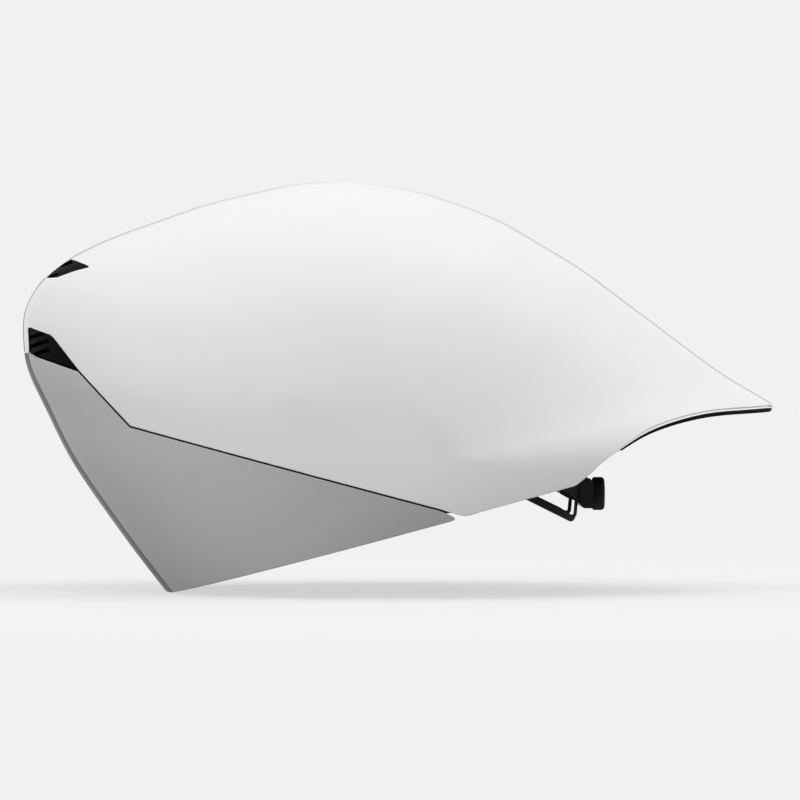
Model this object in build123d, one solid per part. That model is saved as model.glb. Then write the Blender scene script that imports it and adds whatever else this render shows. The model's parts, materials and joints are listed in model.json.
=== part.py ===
from build123d import *
import math
import os
from functools import lru_cache

import numpy as np

os.makedirs("parts", exist_ok=True)

# An aero time trial helmet, in millimetres. The nose points along -X, the tail along +X and the
# crown along +Z. The origin is midway between nose and tail, on the plane that the front lower
# edge of the eye shield stands on.

# Overall size
length = 351.7
height = 191.8
width = 204.0

# Depths below the outer surface
shell_wall = 1.6
shell_to_liner = 0.3
lens_wall = 2.2
rail_depth = 3.9
rail_wall = 2.4
rail_to_liner = 0.3
insert_depth = 0.6
flange_wall = 1.3
plenum_depth = 9.0
panel_depth = 0.15

# Small gaps and helpers for cuts
overrun = 6.0
edge_gap = 0.7
lip = 0.8
part_gap = 0.3
touch_gap = 0.15
run_gap = 0.05
panel_wall = 1.7

# Head space in the foam liner
head_length = 206.0
head_breadth = 158.0
head_rise = 100.0
head_level = 62.0
head_step = 1.0
head_centre_share = -0.0853

# Air ways
vent_grow = 2.5
slot_height = 1.8
slot_pitch = 4.2
slot_bridge = 3.0
slot_lean = -15
upper_slot_count = 2
lower_slot_count = 3
upper_slot_share = (0.0450, 0.7760)
lower_slot_share = (0.0350, 0.6030)
upper_duct_share = (0.0450, 0.7570)
lower_duct_share = (0.0300, 0.5780)
upper_duct_breadth = 18.0
upper_duct_height = 9.0
upper_duct_offset = 16.0
lower_duct_breadth = 22.0
lower_duct_height = 10.0
lower_duct_offset = 35.0
groove_depth = 7.0
groove_breadth = 12.0
groove_offset = 32.0
pillar_half = 15.0

# Shield magnets
magnet_radius = 4.5
magnet_height = 1.9
disc_height = 1.4
disc_skin = 0.7

# Headband arms, which the side sleeves of the cradle slide over
arm_offset = 70.0
arm_wall = 2.0
arm_breadth = 9.0
arm_length = 59.0
arm_level = 60.0
arm_eye_radius = 6.5
pin_radius = 2.5
pin_head_radius = 4.5
pin_head_height = 1.0
anchor_plate_wall = 2.0
anchor_plate_size = 15.0
anchor_boss_radius = 5.0
anchor_boss_height = 7.0
band_travel = 18.0

# Cradle behind the head
sleeve_wall = 1.5
sleeve_length = 45.0
sleeve_stop = 1.5
cradle_wall = 2.0
cradle_reach = 81.3
cradle_lead = 41.85
dial_inset = 2.76
recess_gap = 4.0
recess_rise = 15.0

# Dial housing and what it holds
housing_half_breadth = 33.0
housing_depth = 15.6
housing_rise = 13.65
housing_wall = 1.2
housing_corner = 1.6
dial_radius = 7.75
dial_height = 5.9
dial_ribs = 40
dial_rib_depth = 0.35
dial_gap = 0.45
dial_level = 45.4
dial_bore_depth = 3.0
pinion_teeth = 8
pinion_radius = 3.0
pinion_height = 3.0
tooth_rise = 0.45
tooth_fall = 0.65
shaft_radius = 2.0
pivot_height = 2.4
rack_length = 32.0
rack_back = 1.0
rack_lead = 5.0
spring_wall = 0.25
spring_inner = 3.2
spring_outer = 6.0
screw_radius = 1.2
screw_head_radius = 2.1
screw_head_height = 1.0
screw_length = 9.0
screw_socket_depth = 0.5
dial_screw_radius = 0.8
dial_screw_length = 7.0

# Soft pads
pad_thickness = 5.2
nape_pad_thickness = 3.2

# Chin strap, folded up inside the head space with its buckle closed
strap_breadth = 15.0
leg_breadth = 12.0
strap_wall = 1.2
strap_inset = 12.7
strap_drop = 14.0
strap_anchor_breadth = 16.0
strap_anchor_depth = 24.0
strap_anchor_height = 6.5
strap_anchor_level = 41.0
strap_foot_spread = 26.0
strap_lead = 5.0
divider_level = 92.0
divider_wall = 1.8
divider_size = 26.0
buckle_height = 7.0
buckle_breadth = 22.0
buckle_half_length = 19.0
buckle_wall = 1.4
buckle_drop = 1.6
prong_slit = 1.6
prong_spread = 6.4
keeper_wall = 1.0
keeper_length = 7.0
keeper_offset = 40.0

half_width = width / 2
head_x = head_centre_share * length


def side(points):
    """Side view points, from shares of the length and height to X and Z."""
    return [((x - 0.5) * length, z * height) for x, z in points]


# Side outline of the outer surface, in shares of length and height from the nose and the floor.
# Below the edges of shell and shield, and behind the tail, it only guides the surface.
silhouette_shares = [
    (0.1896, 0.0000), (0.1479, 0.0991), (0.0998, 0.2211), (0.0572, 0.3431), (0.0247, 0.4651),
    (0.0054, 0.5474), (0.0003, 0.6152), (0.0020, 0.6778), (0.0154, 0.7315), (0.0353, 0.7753),
    (0.0753, 0.8243), (0.1285, 0.8686), (0.1817, 0.9035), (0.2351, 0.9380), (0.2883, 0.9635),
    (0.3418, 0.9854), (0.4217, 0.9990), (0.4748, 0.9906), (0.5283, 0.9724), (0.5814, 0.9416),
    (0.6346, 0.9025), (0.6881, 0.8462), (0.7412, 0.7868), (0.7947, 0.7143), (0.8479, 0.6413),
    (0.9010, 0.5678), (0.9545, 0.5021), (1.0028, 0.4484), (1.0426, 0.3754), (1.0483, 0.2711),
    (1.0028, 0.1147), (0.9118, -0.0521), (0.7981, -0.1773), (0.6559, -0.2607), (0.5138, -0.2972),
    (0.3716, -0.2711), (0.2749, -0.1773),
]
centre_shares = (0.5280, 0.3128)
# How full the cross sections are: the mean, then how it varies round the side view
fullness_shares = dict(mean=0.0525, along=-0.405, upright=0.05, double=-0.0975)


def closed_curve(knots, values, period):
    """Smooth periodic curve through values at rising knots."""
    count = len(knots)
    steps = np.diff(np.append(knots, knots[0] + period))
    matrix = np.zeros((count, count))
    rates = np.zeros(count)
    for i in range(count):
        before, after = steps[i - 1], steps[i]
        matrix[i, i - 1] += before
        matrix[i, i] += 2 * (before + after)
        matrix[i, (i + 1) % count] += after
        rise = (values[(i + 1) % count] - values[i]) / after
        rates[i] = 6 * (rise - (values[i] - values[i - 1]) / before)
    bends = np.linalg.solve(matrix, rates)

    def value(place):
        place = (place - knots[0]) % period + knots[0]
        i = min(int(np.searchsorted(knots, place, side="right")) - 1, count - 1)
        j = (i + 1) % count
        left = (knots[i] + steps[i] - place) / steps[i]
        right = 1 - left
        curve = (left**3 - left) * bends[i] + (right**3 - right) * bends[j]
        return left * values[i] + right * values[j] + curve * steps[i] ** 2 / 6

    return value


centre_x, centre_z = side([centre_shares])[0]
polar = sorted(
    (math.atan2(z - centre_z, x - centre_x), math.hypot(x - centre_x, z - centre_z))
    for x, z in side(silhouette_shares)
)
outline_reach = closed_curve([a for a, r in polar], [r for a, r in polar], 2 * math.pi)
turn_step = 0.01


def fullness(angle):
    """How far a cross section swells past an ellipse, by direction seen from the left side."""
    along = fullness_shares["along"] * math.cos(angle) + fullness_shares["upright"] * math.sin(angle)
    return fullness_shares["mean"] + along + fullness_shares["double"] * math.cos(2 * angle)


def reach(angle, depth):
    """Distance from the surface's centre to its side outline, a depth below the surface."""
    rho = outline_reach(angle)
    slope = (outline_reach(angle + turn_step) - outline_reach(angle - turn_step)) / (2 * turn_step)
    return rho - depth * math.hypot(1, slope / rho)


def ratio(x, z, depth):
    """Share of the way from the surface's centre to its side outline."""
    dx, dz = x - centre_x, z - centre_z
    return math.hypot(dx, dz) / reach(math.atan2(dz, dx), depth)


def half_breadth(x, z, depth=0):
    """Half of the surface's breadth at a point of the side view."""
    share = min(ratio(x, z, depth), 1)
    bulge = fullness(math.atan2(z - centre_z, x - centre_x))
    return (half_width - depth) * math.sqrt((1 - share**2) * (1 + bulge * share**2))


def crossing(place, near, far, depth):
    """Where the line place(t) leaves the side outline, for t between near and far."""
    for _ in range(40):
        middle = (near + far) / 2
        x, z = place(middle)
        if ratio(x, z, depth) < 1:
            near = middle
        else:
            far = middle
    return near


span_count = 10
spans = [i / span_count for i in range(span_count + 1)]


def rib(place, foot, depth, limit):
    """One closed cross section: an arch over the outline, and a straight line at its feet."""
    top = crossing(place, foot, limit, depth)
    half = []
    for span in spans[:-1]:
        t = foot + (top - foot) * math.sin(span * math.pi / 2)
        x, z = place(t)
        half.append((x, half_breadth(x, z, depth), z))
    x, z = place(top)
    arch = [(px, -py, pz) for px, py, pz in half] + [(x, 0, z)] + half[::-1]
    knots = [i / (len(arch) - 1) for i in range(len(arch))]
    curve = Edge.make_spline(arch, parameters=knots)
    return Wire([curve, Edge.make_line(arch[-1], arch[0])])


# The dome's cross sections fan out from a line below the head
fan_share = (0.3716, -0.2086)
fan_foot_share = 0.323
fan_x, fan_z = side([fan_share])[0]
fan_foot = fan_foot_share * height
fan_degrees = [
    134, 131.5, 129, 126, 121, 115, 108, 101, 94, 87, 80, 73, 66, 59, 52, 45, 39, 34, 30, 27.5
]
fan_extra = 0.8


@lru_cache(maxsize=None)
def dome(depth, inner=False):
    """Solid under the outer surface, a depth below it. An inner one pokes out past its ends."""
    foot = fan_foot - overrun if inner else fan_foot
    extra = fan_extra if inner else 0
    sections = []
    for degrees in fan_degrees:
        if degrees == fan_degrees[0]:
            degrees += extra
        if degrees == fan_degrees[-1]:
            degrees -= extra
        turn = math.radians(degrees)
        ux, uz = math.cos(turn), math.sin(turn)

        def place(t, ux=ux, uz=uz):
            return fan_x + t * ux, fan_z + t * uz

        sections.append(rib(place, foot, depth, 2 * length))
    return Solid.make_loft(sections)


# The shield's cross sections are level
level_shares = [-0.03, 0.02, 0.07, 0.13, 0.20, 0.28, 0.36, 0.44, 0.50, 0.55, 0.59, 0.62]
level_extra_share = 0.01
shield_back_share = 0.62
shield_back = side([(shield_back_share, 0)])[0][0]


@lru_cache(maxsize=None)
def bow(depth, inner=False):
    """Solid behind the outer surface, for the shield."""
    back = shield_back + overrun if inner else shield_back
    extra = level_extra_share if inner else 0
    sections = []
    for share in level_shares:
        if share == level_shares[0]:
            share -= extra
        if share == level_shares[-1]:
            share += extra

        def place(t, level=share * height):
            return back - t, level

        sections.append(rib(place, 0, depth, 2 * length))
    return Solid.make_loft(sections)


def prism(*runs):
    """Solid across the whole breadth, from a side view outline of straight and curved runs."""
    edges = []
    end = runs[0][1][0]
    for kind, points in runs:
        path = [end] + [p for p in points if p != end]
        if kind == "curve":
            edges.append(Edge.make_spline([Vector(x, 0, z) for x, z in path]))
        else:
            for a, b in zip(path, path[1:]):
                edges.append(Edge.make_line((a[0], 0, a[1]), (b[0], 0, b[1])))
        end = path[-1]
    start = runs[0][1][0]
    if math.dist(start, end) > run_gap:
        edges.append(Edge.make_line((end[0], 0, end[1]), (start[0], 0, start[1])))
    return extrude(make_face(edges), amount=width, dir=(0, 1, 0), both=True)


def lines(points):
    return ("lines", points)


def curve(points):
    return ("curve", points)


def skin(outer, inner, clip, form=dome):
    """Layer between two depths, within a side view prism."""
    return (form(outer) & clip) - form(inner, True)


def raised(points, rise):
    return [(x, z + rise) for x, z in points]


def block(x0, x1, y0, y1, z0, z1):
    return Pos((x0 + x1) / 2, (y0 + y1) / 2, (z0 + z1) / 2) * Box(x1 - x0, y1 - y0, z1 - z0)


def rod(radius, x0, x1, y, z):
    """Cylinder along X."""
    return Pos((x0 + x1) / 2, y, z) * Rotation(0, 90, 0) * Cylinder(radius, x1 - x0)


def cross_rod(radius, y0, y1, x, z):
    """Cylinder along Y."""
    return Pos(x, (y0 + y1) / 2, z) * Rotation(90, 0, 0) * Cylinder(radius, abs(y1 - y0))


def mirrored(solid):
    return mirror(solid, Plane.XZ)


def save(name, *solids):
    """Write one node's solids to its file."""
    pieces = []
    for solid in solids:
        pieces += list(solid.solids())
    whole = pieces[0] if len(pieces) == 1 else Compound(children=pieces)
    export_step(whole, f"parts/{name}.step")
    print(name, len(pieces), round(sum(p.volume for p in pieces) / 1000, 2), "cm3")


# Lower edge of shell and rail, and upper edge of the shield, from the brow to the ear
brow_edge_shares = [(0.0070, 0.5810), (0.0190, 0.5765), (0.0860, 0.5360), (0.1550, 0.4040)]
ear_edge_shares = [(0.5520, 0.2110)]
ear_turn_shares = [(0.5520, 0.2110), (0.5700, 0.2005), (0.5840, 0.1950), (0.6000, 0.2020)]
flank_edge_shares = [(0.6000, 0.2020), (0.7250, 0.2640)]
# Underside of the tail, from the flank back, with how much of the tail panel's wall is below it
tail_edge_shares = [
    (0.7250, 0.2640, 0.0), (0.7430, 0.2890, 0.0), (0.7600, 0.3160, 0.1), (0.7850, 0.3460, 0.4),
    (0.8150, 0.3780, 0.7), (0.8360, 0.3940, 0.8), (0.8670, 0.4110, 0.9), (0.9090, 0.4255, 1.0),
    (0.9500, 0.4315, 1.0), (0.9890, 0.4365, 1.0),
]
tail_corner_shares = [(0.9945, 0.4440), (1.0003, 0.4535), (1.2, 0.65)]
outside_high = (length, 2 * height)
outside_front_high = (-length, 2 * height)

brow_edge = side(brow_edge_shares)
ear_edge = side(ear_edge_shares)
ear_turn = side(ear_turn_shares)
flank_edge = side(flank_edge_shares)
tail_under = side([(x, z) for x, z, share in tail_edge_shares])
tail_edge = [
    (x, z + share * panel_wall) for (x, z), (_, _, share) in zip(tail_under, tail_edge_shares)
]
tail_corner = side(tail_corner_shares)


def shell_prism(rise):
    """Everything above the shell's lower edge, raised by a gap."""
    front = (-length, brow_edge[0][1] + rise)
    return prism(
        lines([outside_front_high, front] + raised(brow_edge + ear_edge, rise)),
        curve(raised(ear_turn, rise)),
        lines(raised(flank_edge, rise)),
        curve(raised(tail_edge, rise)),
        lines(raised(tail_corner, rise) + [outside_high]),
    )


# Vents in the brow, in side view
upper_vent_shares = [
    (0.0972, 0.7842), (0.0660, 0.8076), (0.0160, 0.8450), (-0.0500, 0.7900), (0.0250, 0.7640),
    (0.0415, 0.7602), (0.0520, 0.7607), (0.0745, 0.7742),
]
lower_vent_shares = [
    (0.0128, 0.6387), (0.0162, 0.6397), (0.0461, 0.6204), (0.0517, 0.6121), (0.0860, 0.5360),
    (0.1000, 0.4700), (0.0150, 0.4700), (0.0150, 0.5800),
]


def grown(points, distance):
    """Outline moved out by a distance."""
    face = make_face(Polyline(*[(x, z) for x, z in points], close=True))
    face = offset(face, amount=distance, kind=Kind.INTERSECTION)
    return extrude(Plane.XZ * face, amount=width, both=True)


upper_vent = side(upper_vent_shares)
lower_vent = side(lower_vent_shares)
upper_cut = prism(lines(upper_vent))
lower_cut = prism(lines(lower_vent))
upper_recess = grown(upper_vent, vent_grow)
lower_recess = grown(lower_vent, vent_grow)

# The white shell, one thin skin with the vents cut through it
outer_shell = skin(0, shell_wall, shell_prism(0)) - upper_cut - lower_cut
save("outer_shell", outer_shell)

# Head space: an ellipsoid over an upright oval
half_head = head_length / 2
half_cheek = head_breadth / 2


def head_form(inset=0, side_inset=None, top_inset=None):
    """Ellipsoid that the head space follows, drawn in by an inset."""
    sides = inset if side_inset is None else side_inset
    top = inset if top_inset is None else top_inset
    ball = Rotation(0, 90, 0) * Sphere(1)
    size = (half_head - inset, half_cheek - sides, head_rise - top)
    return Pos(head_x, 0, head_level) * scale(ball, by=size)


head_oval = Pos(head_x, 0, head_level) * extrude(
    Ellipse(half_head - head_step, half_cheek - head_step), amount=-(head_level + overrun)
)

# Dial, band and cradle places
cradle_x = head_x + cradle_lead
dial_x = cradle_x + cradle_reach - dial_inset
housing_back = dial_x - dial_gap
housing_front = housing_back - housing_depth
sleeve_front = cradle_x - sleeve_length
arm_end = cradle_x - sleeve_stop - band_travel - sleeve_stop
pin_x = arm_end - arm_length
cradle_half = arm_offset + cradle_wall / 2
recess_top = arm_level + recess_rise
recess_half = cradle_half + recess_gap

liner_low_shares = [
    (0.0300, 0.5500), (0.0640, 0.4800), (0.1150, 0.4000), (0.2100, 0.3400), (0.2850, 0.2500),
    (0.3200, 0.1950), (0.3900, 0.1720), (0.4700, 0.1720), (0.5500, 0.1980), (0.6000, 0.2080),
    (0.6000, 0.3400), (0.1000, 0.5700),
]


def cradle_side(points):
    """Side view points, from shares of the cradle's reach and the arms' level."""
    return [(cradle_x + x * cradle_reach, z * arm_level) for x, z in points]


def head_side(points):
    """Side view points, from shares of the head space, seen from its centre."""
    return [(head_x + x * half_head, head_level + z * head_rise) for x, z in points]


def band_recess():
    """Room in the liner for the headband, its cradle and the dial."""
    arms = block(
        pin_x - arm_eye_radius - recess_gap, cradle_x + touch_gap, -recess_half, recess_half,
        arm_level - recess_rise + part_gap, recess_top,
    )
    oval = Ellipse(cradle_reach + recess_gap, recess_half)
    behind = Pos(cradle_x, 0, 0) * extrude(oval, amount=recess_top)
    behind &= block(cradle_x, cradle_x + length, -width, width, -overrun, 2 * height)
    pocket_half = housing_half_breadth + 2 * recess_gap
    arch = RectangleRounded(2 * pocket_half, recess_top + overrun, 2 * recess_gap)
    arch = Pos(0, recess_top / 2) * arch
    arch = Plane((cradle_x, 0, 0), x_dir=(0, 1, 0), z_dir=(1, 0, 0)) * arch
    pocket = extrude(arch, amount=dial_x + dial_height + dial_radius - cradle_x)
    return arms, behind, pocket


# The foam liner, with the head space, ducts, grooves and pockets cut from it
liner_depth = shell_wall + shell_to_liner
lower_liner_depth = rail_depth + rail_wall + rail_to_liner
foam_liner = dome(liner_depth) & shell_prism(lip + touch_gap)
lower_liner = dome(lower_liner_depth) & prism(lines(side(liner_low_shares)))
foam_liner = foam_liner + lower_liner
foam_liner -= skin(0, plenum_depth, upper_recess)
pillar = block(-length, length, -pillar_half, pillar_half, 0, height)
foam_liner -= skin(0, plenum_depth, (lower_recess - pillar) & shell_prism(lip + touch_gap))
foam_liner -= head_form()
foam_liner -= head_oval
for cutter in band_recess():
    foam_liner -= cutter

upper_duct_x0, upper_duct_z = side([upper_duct_share])[0]
lower_duct_x0, lower_duct_z = side([lower_duct_share])[0]
for way in (-1, 1):
    y = way * upper_duct_offset
    foam_liner -= block(
        upper_duct_x0, head_x, y - upper_duct_breadth / 2, y + upper_duct_breadth / 2,
        upper_duct_z - upper_duct_height / 2, upper_duct_z + upper_duct_height / 2,
    )
    y = way * lower_duct_offset
    foam_liner -= block(
        lower_duct_x0, head_x, y - lower_duct_breadth / 2, y + lower_duct_breadth / 2,
        lower_duct_z - lower_duct_height / 2, lower_duct_z + lower_duct_height / 2,
    )
groove_floor = head_level + head_rise / 2
for y in (-groove_offset, 0, groove_offset):
    slab = block(
        -length, length, y - groove_breadth / 2, y + groove_breadth / 2, groove_floor, 2 * height
    )
    foam_liner -= head_form(-groove_depth) & slab

# Black ledge under the shell's edge, which carries the shield's magnets
rail_low_shares = [
    (0.5560, 0.1960), (0.5000, 0.1640), (0.1720, 0.3130), (0.1270, 0.3500), (0.0650, 0.4700),
    (0.0300, 0.5060),
]
rail_end_share = (0.5560, 0.2098)
rail_top = raised(brow_edge + side([rail_end_share]), lip)
rail_clip = prism(
    lines(
        [(-length, brow_edge[0][1] + lip)] + rail_top + side(rail_low_shares)
        + [(-length, side(rail_low_shares)[-1][1])]
    )
)
shield_rail = skin(rail_depth, rail_depth + rail_wall, rail_clip)


def outward(x, z, depth):
    """Plane on the right side, a depth below the surface, facing out."""
    step = turn_step * length
    slope_x = (half_breadth(x + step, z) - half_breadth(x - step, z)) / (2 * step)
    slope_z = (half_breadth(x, z + step) - half_breadth(x, z - step)) / (2 * step)
    facing = Vector(-slope_x, 1, -slope_z).normalized()
    return Plane(Vector(x, half_breadth(x, z), z) - facing * depth, z_dir=facing)


magnet_shares = [(0.1780, 0.3520), (0.5060, 0.1990)]
magnet_places = side(magnet_shares)


def studs(radius, depth, size):
    """Round pieces sunk to a depth at each magnet place, on both sides."""
    found = []
    for x, z in magnet_places:
        stud = Cylinder(radius, size, align=(Align.CENTER, Align.CENTER, Align.MAX))
        stud = outward(x, z, depth) * stud
        found += [stud, mirrored(stud)]
    return found


magnet_top = rail_depth + 2 * touch_gap
rail_magnets = studs(magnet_radius, magnet_top, magnet_height)
for pocket in studs(magnet_radius + run_gap, 0, magnet_top + magnet_height + run_gap):
    shield_rail -= pocket
save("shield_rail", shield_rail)
save("rail_magnets", *rail_magnets)

# Tinted shield in front of the face, with a steel disc at each magnet place
shield_low_shares = [
    (-0.5, 0.0), (0.1995, 0.0), (0.5660, 0.1820), (0.5710, 0.1855), (0.5715, 0.1895),
    (0.5680, 0.1945), (0.5500, 0.2060),
]
shield_top = raised(brow_edge, -edge_gap)
shield_clip = prism(
    lines(
        side(shield_low_shares) + shield_top[::-1]
        + [(-length, brow_edge[0][1] - edge_gap)]
    )
)
shield_lens = skin(0, lens_wall, shield_clip, bow)
for pocket in studs(magnet_radius + run_gap, disc_skin, overrun):
    shield_lens -= pocket
save("shield_lens", shield_lens)
save("shield_discs", *studs(magnet_radius, disc_skin + touch_gap / 2, disc_height))

# Black panel under the tail, whose edge shows below the shell
tail_panel = dome(panel_depth) & prism(
    curve(tail_under),
    lines([tail_corner[0], (length, tail_corner[0][1]), (tail_under[0][0], 2 * height)]),
)
tail_panel -= shell_prism(-run_gap)
panel_front_share = 0.785
panel_x = side([(panel_front_share, 0)])[0][0]
tail_panel &= block(panel_x, tail_corner[0][0] - part_gap, -width, width, 0, height)
tail_panel -= band_recess()[2]
save("tail_panel", tail_panel)

# Black louvred inserts, which fill the vents nearly flush and hook behind the shell
flange_depth = shell_wall + part_gap
insert_back = flange_depth + flange_wall


def vent_insert(outline, floor, rise):
    """Plate in a vent, with a wider flange behind it."""
    plate = skin(insert_depth, flange_depth + touch_gap, grown(outline, -touch_gap) & floor)
    flange = skin(flange_depth, insert_back, grown(outline, vent_grow - part_gap) & rise)
    return plate + flange


def louvres(centre, count):
    """Slots across a vent insert, stacked about a point of the side view."""
    x, z = side([centre])[0]
    found = []
    for i in range(count):
        drop = (i - (count - 1) / 2) * slot_pitch
        slot = Rotation(0, slot_lean, 0) * Box(2 * plenum_depth, width, slot_height)
        found.append(Pos(x, 0, z + drop) * slot)
    return found


everything = block(-length, length, -width, width, -height, 2 * height)
upper_insert = vent_insert(upper_vent, everything, everything)
upper_half = upper_duct_offset + upper_duct_breadth / 2
for slot in louvres(upper_slot_share, upper_slot_count):
    for way in (-1, 1):
        near, far = sorted((way * slot_bridge, way * upper_half))
        upper_insert -= slot & block(-length, length, near, far, 0, height)
save("upper_vent_insert", upper_insert)

lower_insert = vent_insert(lower_vent, shell_prism(0), shell_prism(lip + part_gap))
lower_insert -= pillar
lower_near = lower_duct_offset - lower_duct_breadth / 2
lower_far = lower_duct_offset + lower_duct_breadth / 2
for slot in louvres(lower_slot_share, lower_slot_count):
    for way in (-1, 1):
        near, far = sorted((way * lower_near, way * lower_far))
        lower_insert -= slot & block(-length, length, near, far, 0, height)
save("lower_vent_inserts", lower_insert)

# Magnets reach into the liner
for pocket in studs(magnet_radius + part_gap, 0, magnet_top + magnet_height + part_gap):
    foam_liner -= pocket

# Headband arms, which turn on a pin at each temple
arm_in = arm_offset - arm_wall / 2
arm_out = arm_offset + arm_wall / 2


def headband_arm():
    half = arm_breadth / 2
    blade = block(pin_x, arm_end, arm_in, arm_out, arm_level - half, arm_level + half)
    eye = cross_rod(arm_eye_radius, arm_in, arm_out, pin_x, arm_level)
    hole = cross_rod(pin_radius + run_gap, arm_in - overrun, arm_out + overrun, pin_x, arm_level)
    arm = blade + eye - hole
    notch_pitch = 2 * arm_wall
    notches = int(band_travel / notch_pitch)
    for i in range(notches):
        x = arm_end - arm_wall - i * notch_pitch
        arm -= cross_rod(arm_wall / 4, arm_in - overrun, arm_in + arm_wall / 4, x, arm_level)
    return arm


def band_anchor():
    plate_in = arm_out + part_gap
    plate_out = plate_in + anchor_plate_wall
    half = anchor_plate_size / 2
    plate = block(pin_x - half, pin_x + half, plate_in, plate_out, arm_level - half, arm_level + half)
    plate = fillet(plate.edges().filter_by(Axis.Y), half / 2)
    boss_out = plate_out + anchor_boss_height
    boss = cross_rod(anchor_boss_radius, plate_out - run_gap, boss_out, pin_x, arm_level)
    pin_in = arm_in - part_gap
    pin = cross_rod(pin_radius, pin_in, plate_in + run_gap, pin_x, arm_level)
    head = cross_rod(pin_head_radius, pin_in - pin_head_height, pin_in, pin_x, arm_level)
    return plate + boss + pin + head


anchor = band_anchor()
save("band_anchors", anchor, mirrored(anchor))
anchor_out = arm_out + part_gap + anchor_plate_wall
seat = cross_rod(
    anchor_boss_radius + touch_gap, recess_half - overrun,
    anchor_out + anchor_boss_height + touch_gap, pin_x, arm_level,
)
seat_half = anchor_plate_size / 2 + touch_gap
seat += block(
    pin_x - seat_half, pin_x + seat_half, recess_half - overrun, anchor_out + touch_gap,
    arm_level - seat_half, arm_level + seat_half,
)
foam_liner -= seat
foam_liner -= mirrored(seat)
arm = headband_arm()
save("headband_arm_right", arm)
save("headband_arm_left", mirrored(arm))

# Cradle behind the head: sleeves over the arms, an upper band to the dial and a lower loop
sleeve_in = arm_in - part_gap
sleeve_out = arm_out + part_gap
sleeve_half = arm_breadth / 2 + part_gap
# Outlines from the sleeves' ends back, in shares of the cradle's reach and the arms' level
cradle_shares = [
    (0.0000, 1.1083), (0.2825, 1.1000), (0.9184, 0.8999), (0.9184, 0.7001), (0.8687, 0.7001),
    (0.8622, 0.6074), (0.8427, 0.5610), (0.8232, 0.5546), (0.5766, 0.7234), (0.2868, 0.8759),
    (0.0000, 0.8916),
]
window_shares = [
    (0.3214, 0.9622), (0.6286, 0.7448), (0.7989, 0.6340), (0.8290, 0.6090), (0.8432, 0.6110),
    (0.8514, 0.7330), (0.8444, 0.7433), (0.7841, 0.7992),
]


def band_layer(outset, inset, points):
    """Upright oval band behind the head, within a side view outline."""
    outer = Ellipse(cradle_reach + outset, cradle_half + outset)
    inner = Ellipse(cradle_reach - inset, cradle_half - inset)
    ring = Pos(cradle_x, 0, 0) * extrude(outer - inner, amount=height)
    return ring & prism(lines(points)) & block(cradle_x, length, -width, width, -overrun, height)


def sleeve():
    outside = block(
        sleeve_front, cradle_x, sleeve_in - sleeve_wall, sleeve_out + sleeve_wall,
        arm_level - sleeve_half - sleeve_wall, arm_level + sleeve_half + sleeve_wall,
    )
    hollow = block(
        sleeve_front - overrun, cradle_x - sleeve_stop, sleeve_in, sleeve_out,
        arm_level - sleeve_half, arm_level + sleeve_half,
    )
    return outside - hollow


band = band_layer(0, cradle_wall, cradle_side(cradle_shares))
band -= prism(lines(cradle_side(window_shares)))
band -= block(0, length, -housing_half_breadth, housing_half_breadth, -overrun, height)
right_sleeve = sleeve()
half_cradle = band & block(-length, length, 0, width, -overrun, height)
half_cradle = half_cradle + right_sleeve
save("cradle_side_right", half_cradle)
save("cradle_side_left", mirrored(half_cradle))

# Soft pads on the inside of the cradle
nape_shares = [
    (0.3517, 1.0677), (0.6761, 0.9654), (0.7843, 0.9270), (0.7843, 0.8311), (0.6761, 0.8503),
    (0.3517, 0.9846),
]
nape = band_layer(-cradle_wall - touch_gap, cradle_wall + nape_pad_thickness, cradle_side(nape_shares))
nape_half = housing_half_breadth + recess_gap
nape -= block(0, length, -nape_half, nape_half, -overrun, height)
save("nape_pads", nape)

# Dial housing, in a front and a back half
split_x = housing_back - housing_wall - pinion_height - 2 * part_gap
housing_low = dial_level - pinion_radius - tooth_fall - rack_back - part_gap - housing_wall
housing_top = housing_low + housing_rise
chamfer_shares = [(0.0, 0.50), (0.20, 0.36), (0.50, 0.24), (0.71, 0.0)]
housing_profile = [
    (housing_front + x * housing_depth, housing_low + z * housing_rise) for x, z in chamfer_shares
]
housing_profile += [(housing_back, housing_low), (housing_back, housing_top - housing_corner)]
housing_profile += [(housing_back - housing_corner, housing_top), (housing_front, housing_top)]
housing = prism(lines(housing_profile))
housing &= block(-length, length, -housing_half_breadth, housing_half_breadth, -overrun, height)
gear_half = pinion_radius + tooth_fall + rack_back + part_gap
chamber_half = rack_length - rack_lead + part_gap
chamber = block(
    split_x - touch_gap, housing_back - housing_wall, -chamber_half, chamber_half,
    dial_level - gear_half, dial_level + gear_half,
)
housing -= chamber
housing -= rod(shaft_radius + run_gap, split_x - pivot_height, housing_back + overrun, 0, dial_level)
screw_offset = (chamber_half + housing_half_breadth) / 2
screw_back = housing_back - screw_head_height
for way in (-1, 1):
    y = way * screw_offset
    screw_front = housing_back - screw_length
    housing -= rod(screw_radius + run_gap, screw_front, housing_back + overrun, y, dial_level)
    housing -= rod(screw_head_radius + touch_gap, screw_back, housing_back + overrun, y, dial_level)
front_half = housing & block(-length, split_x, -width, width, -overrun, height)
back_half = housing & block(split_x, length, -width, width, -overrun, height)
save("dial_housing_front", front_half)
save("dial_housing_back", back_half)


def housing_screw(y):
    front = housing_back - screw_length + touch_gap
    body = rod(screw_radius, front, screw_back + run_gap, y, dial_level)
    head = rod(screw_head_radius, screw_back, housing_back - touch_gap, y, dial_level)
    socket = Plane((housing_back, y, dial_level), z_dir=(1, 0, 0)) * RegularPolygon(screw_radius, 6)
    return body + head - extrude(socket, amount=-(touch_gap + screw_socket_depth))


save("housing_screws", housing_screw(-screw_offset), housing_screw(screw_offset))

# Dial, with its pinion, screw and click spring
gear_front = split_x + part_gap - touch_gap
pitch = 2 * math.pi * pinion_radius / pinion_teeth
tip_share = 0.12
foot_share = 0.21


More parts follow.
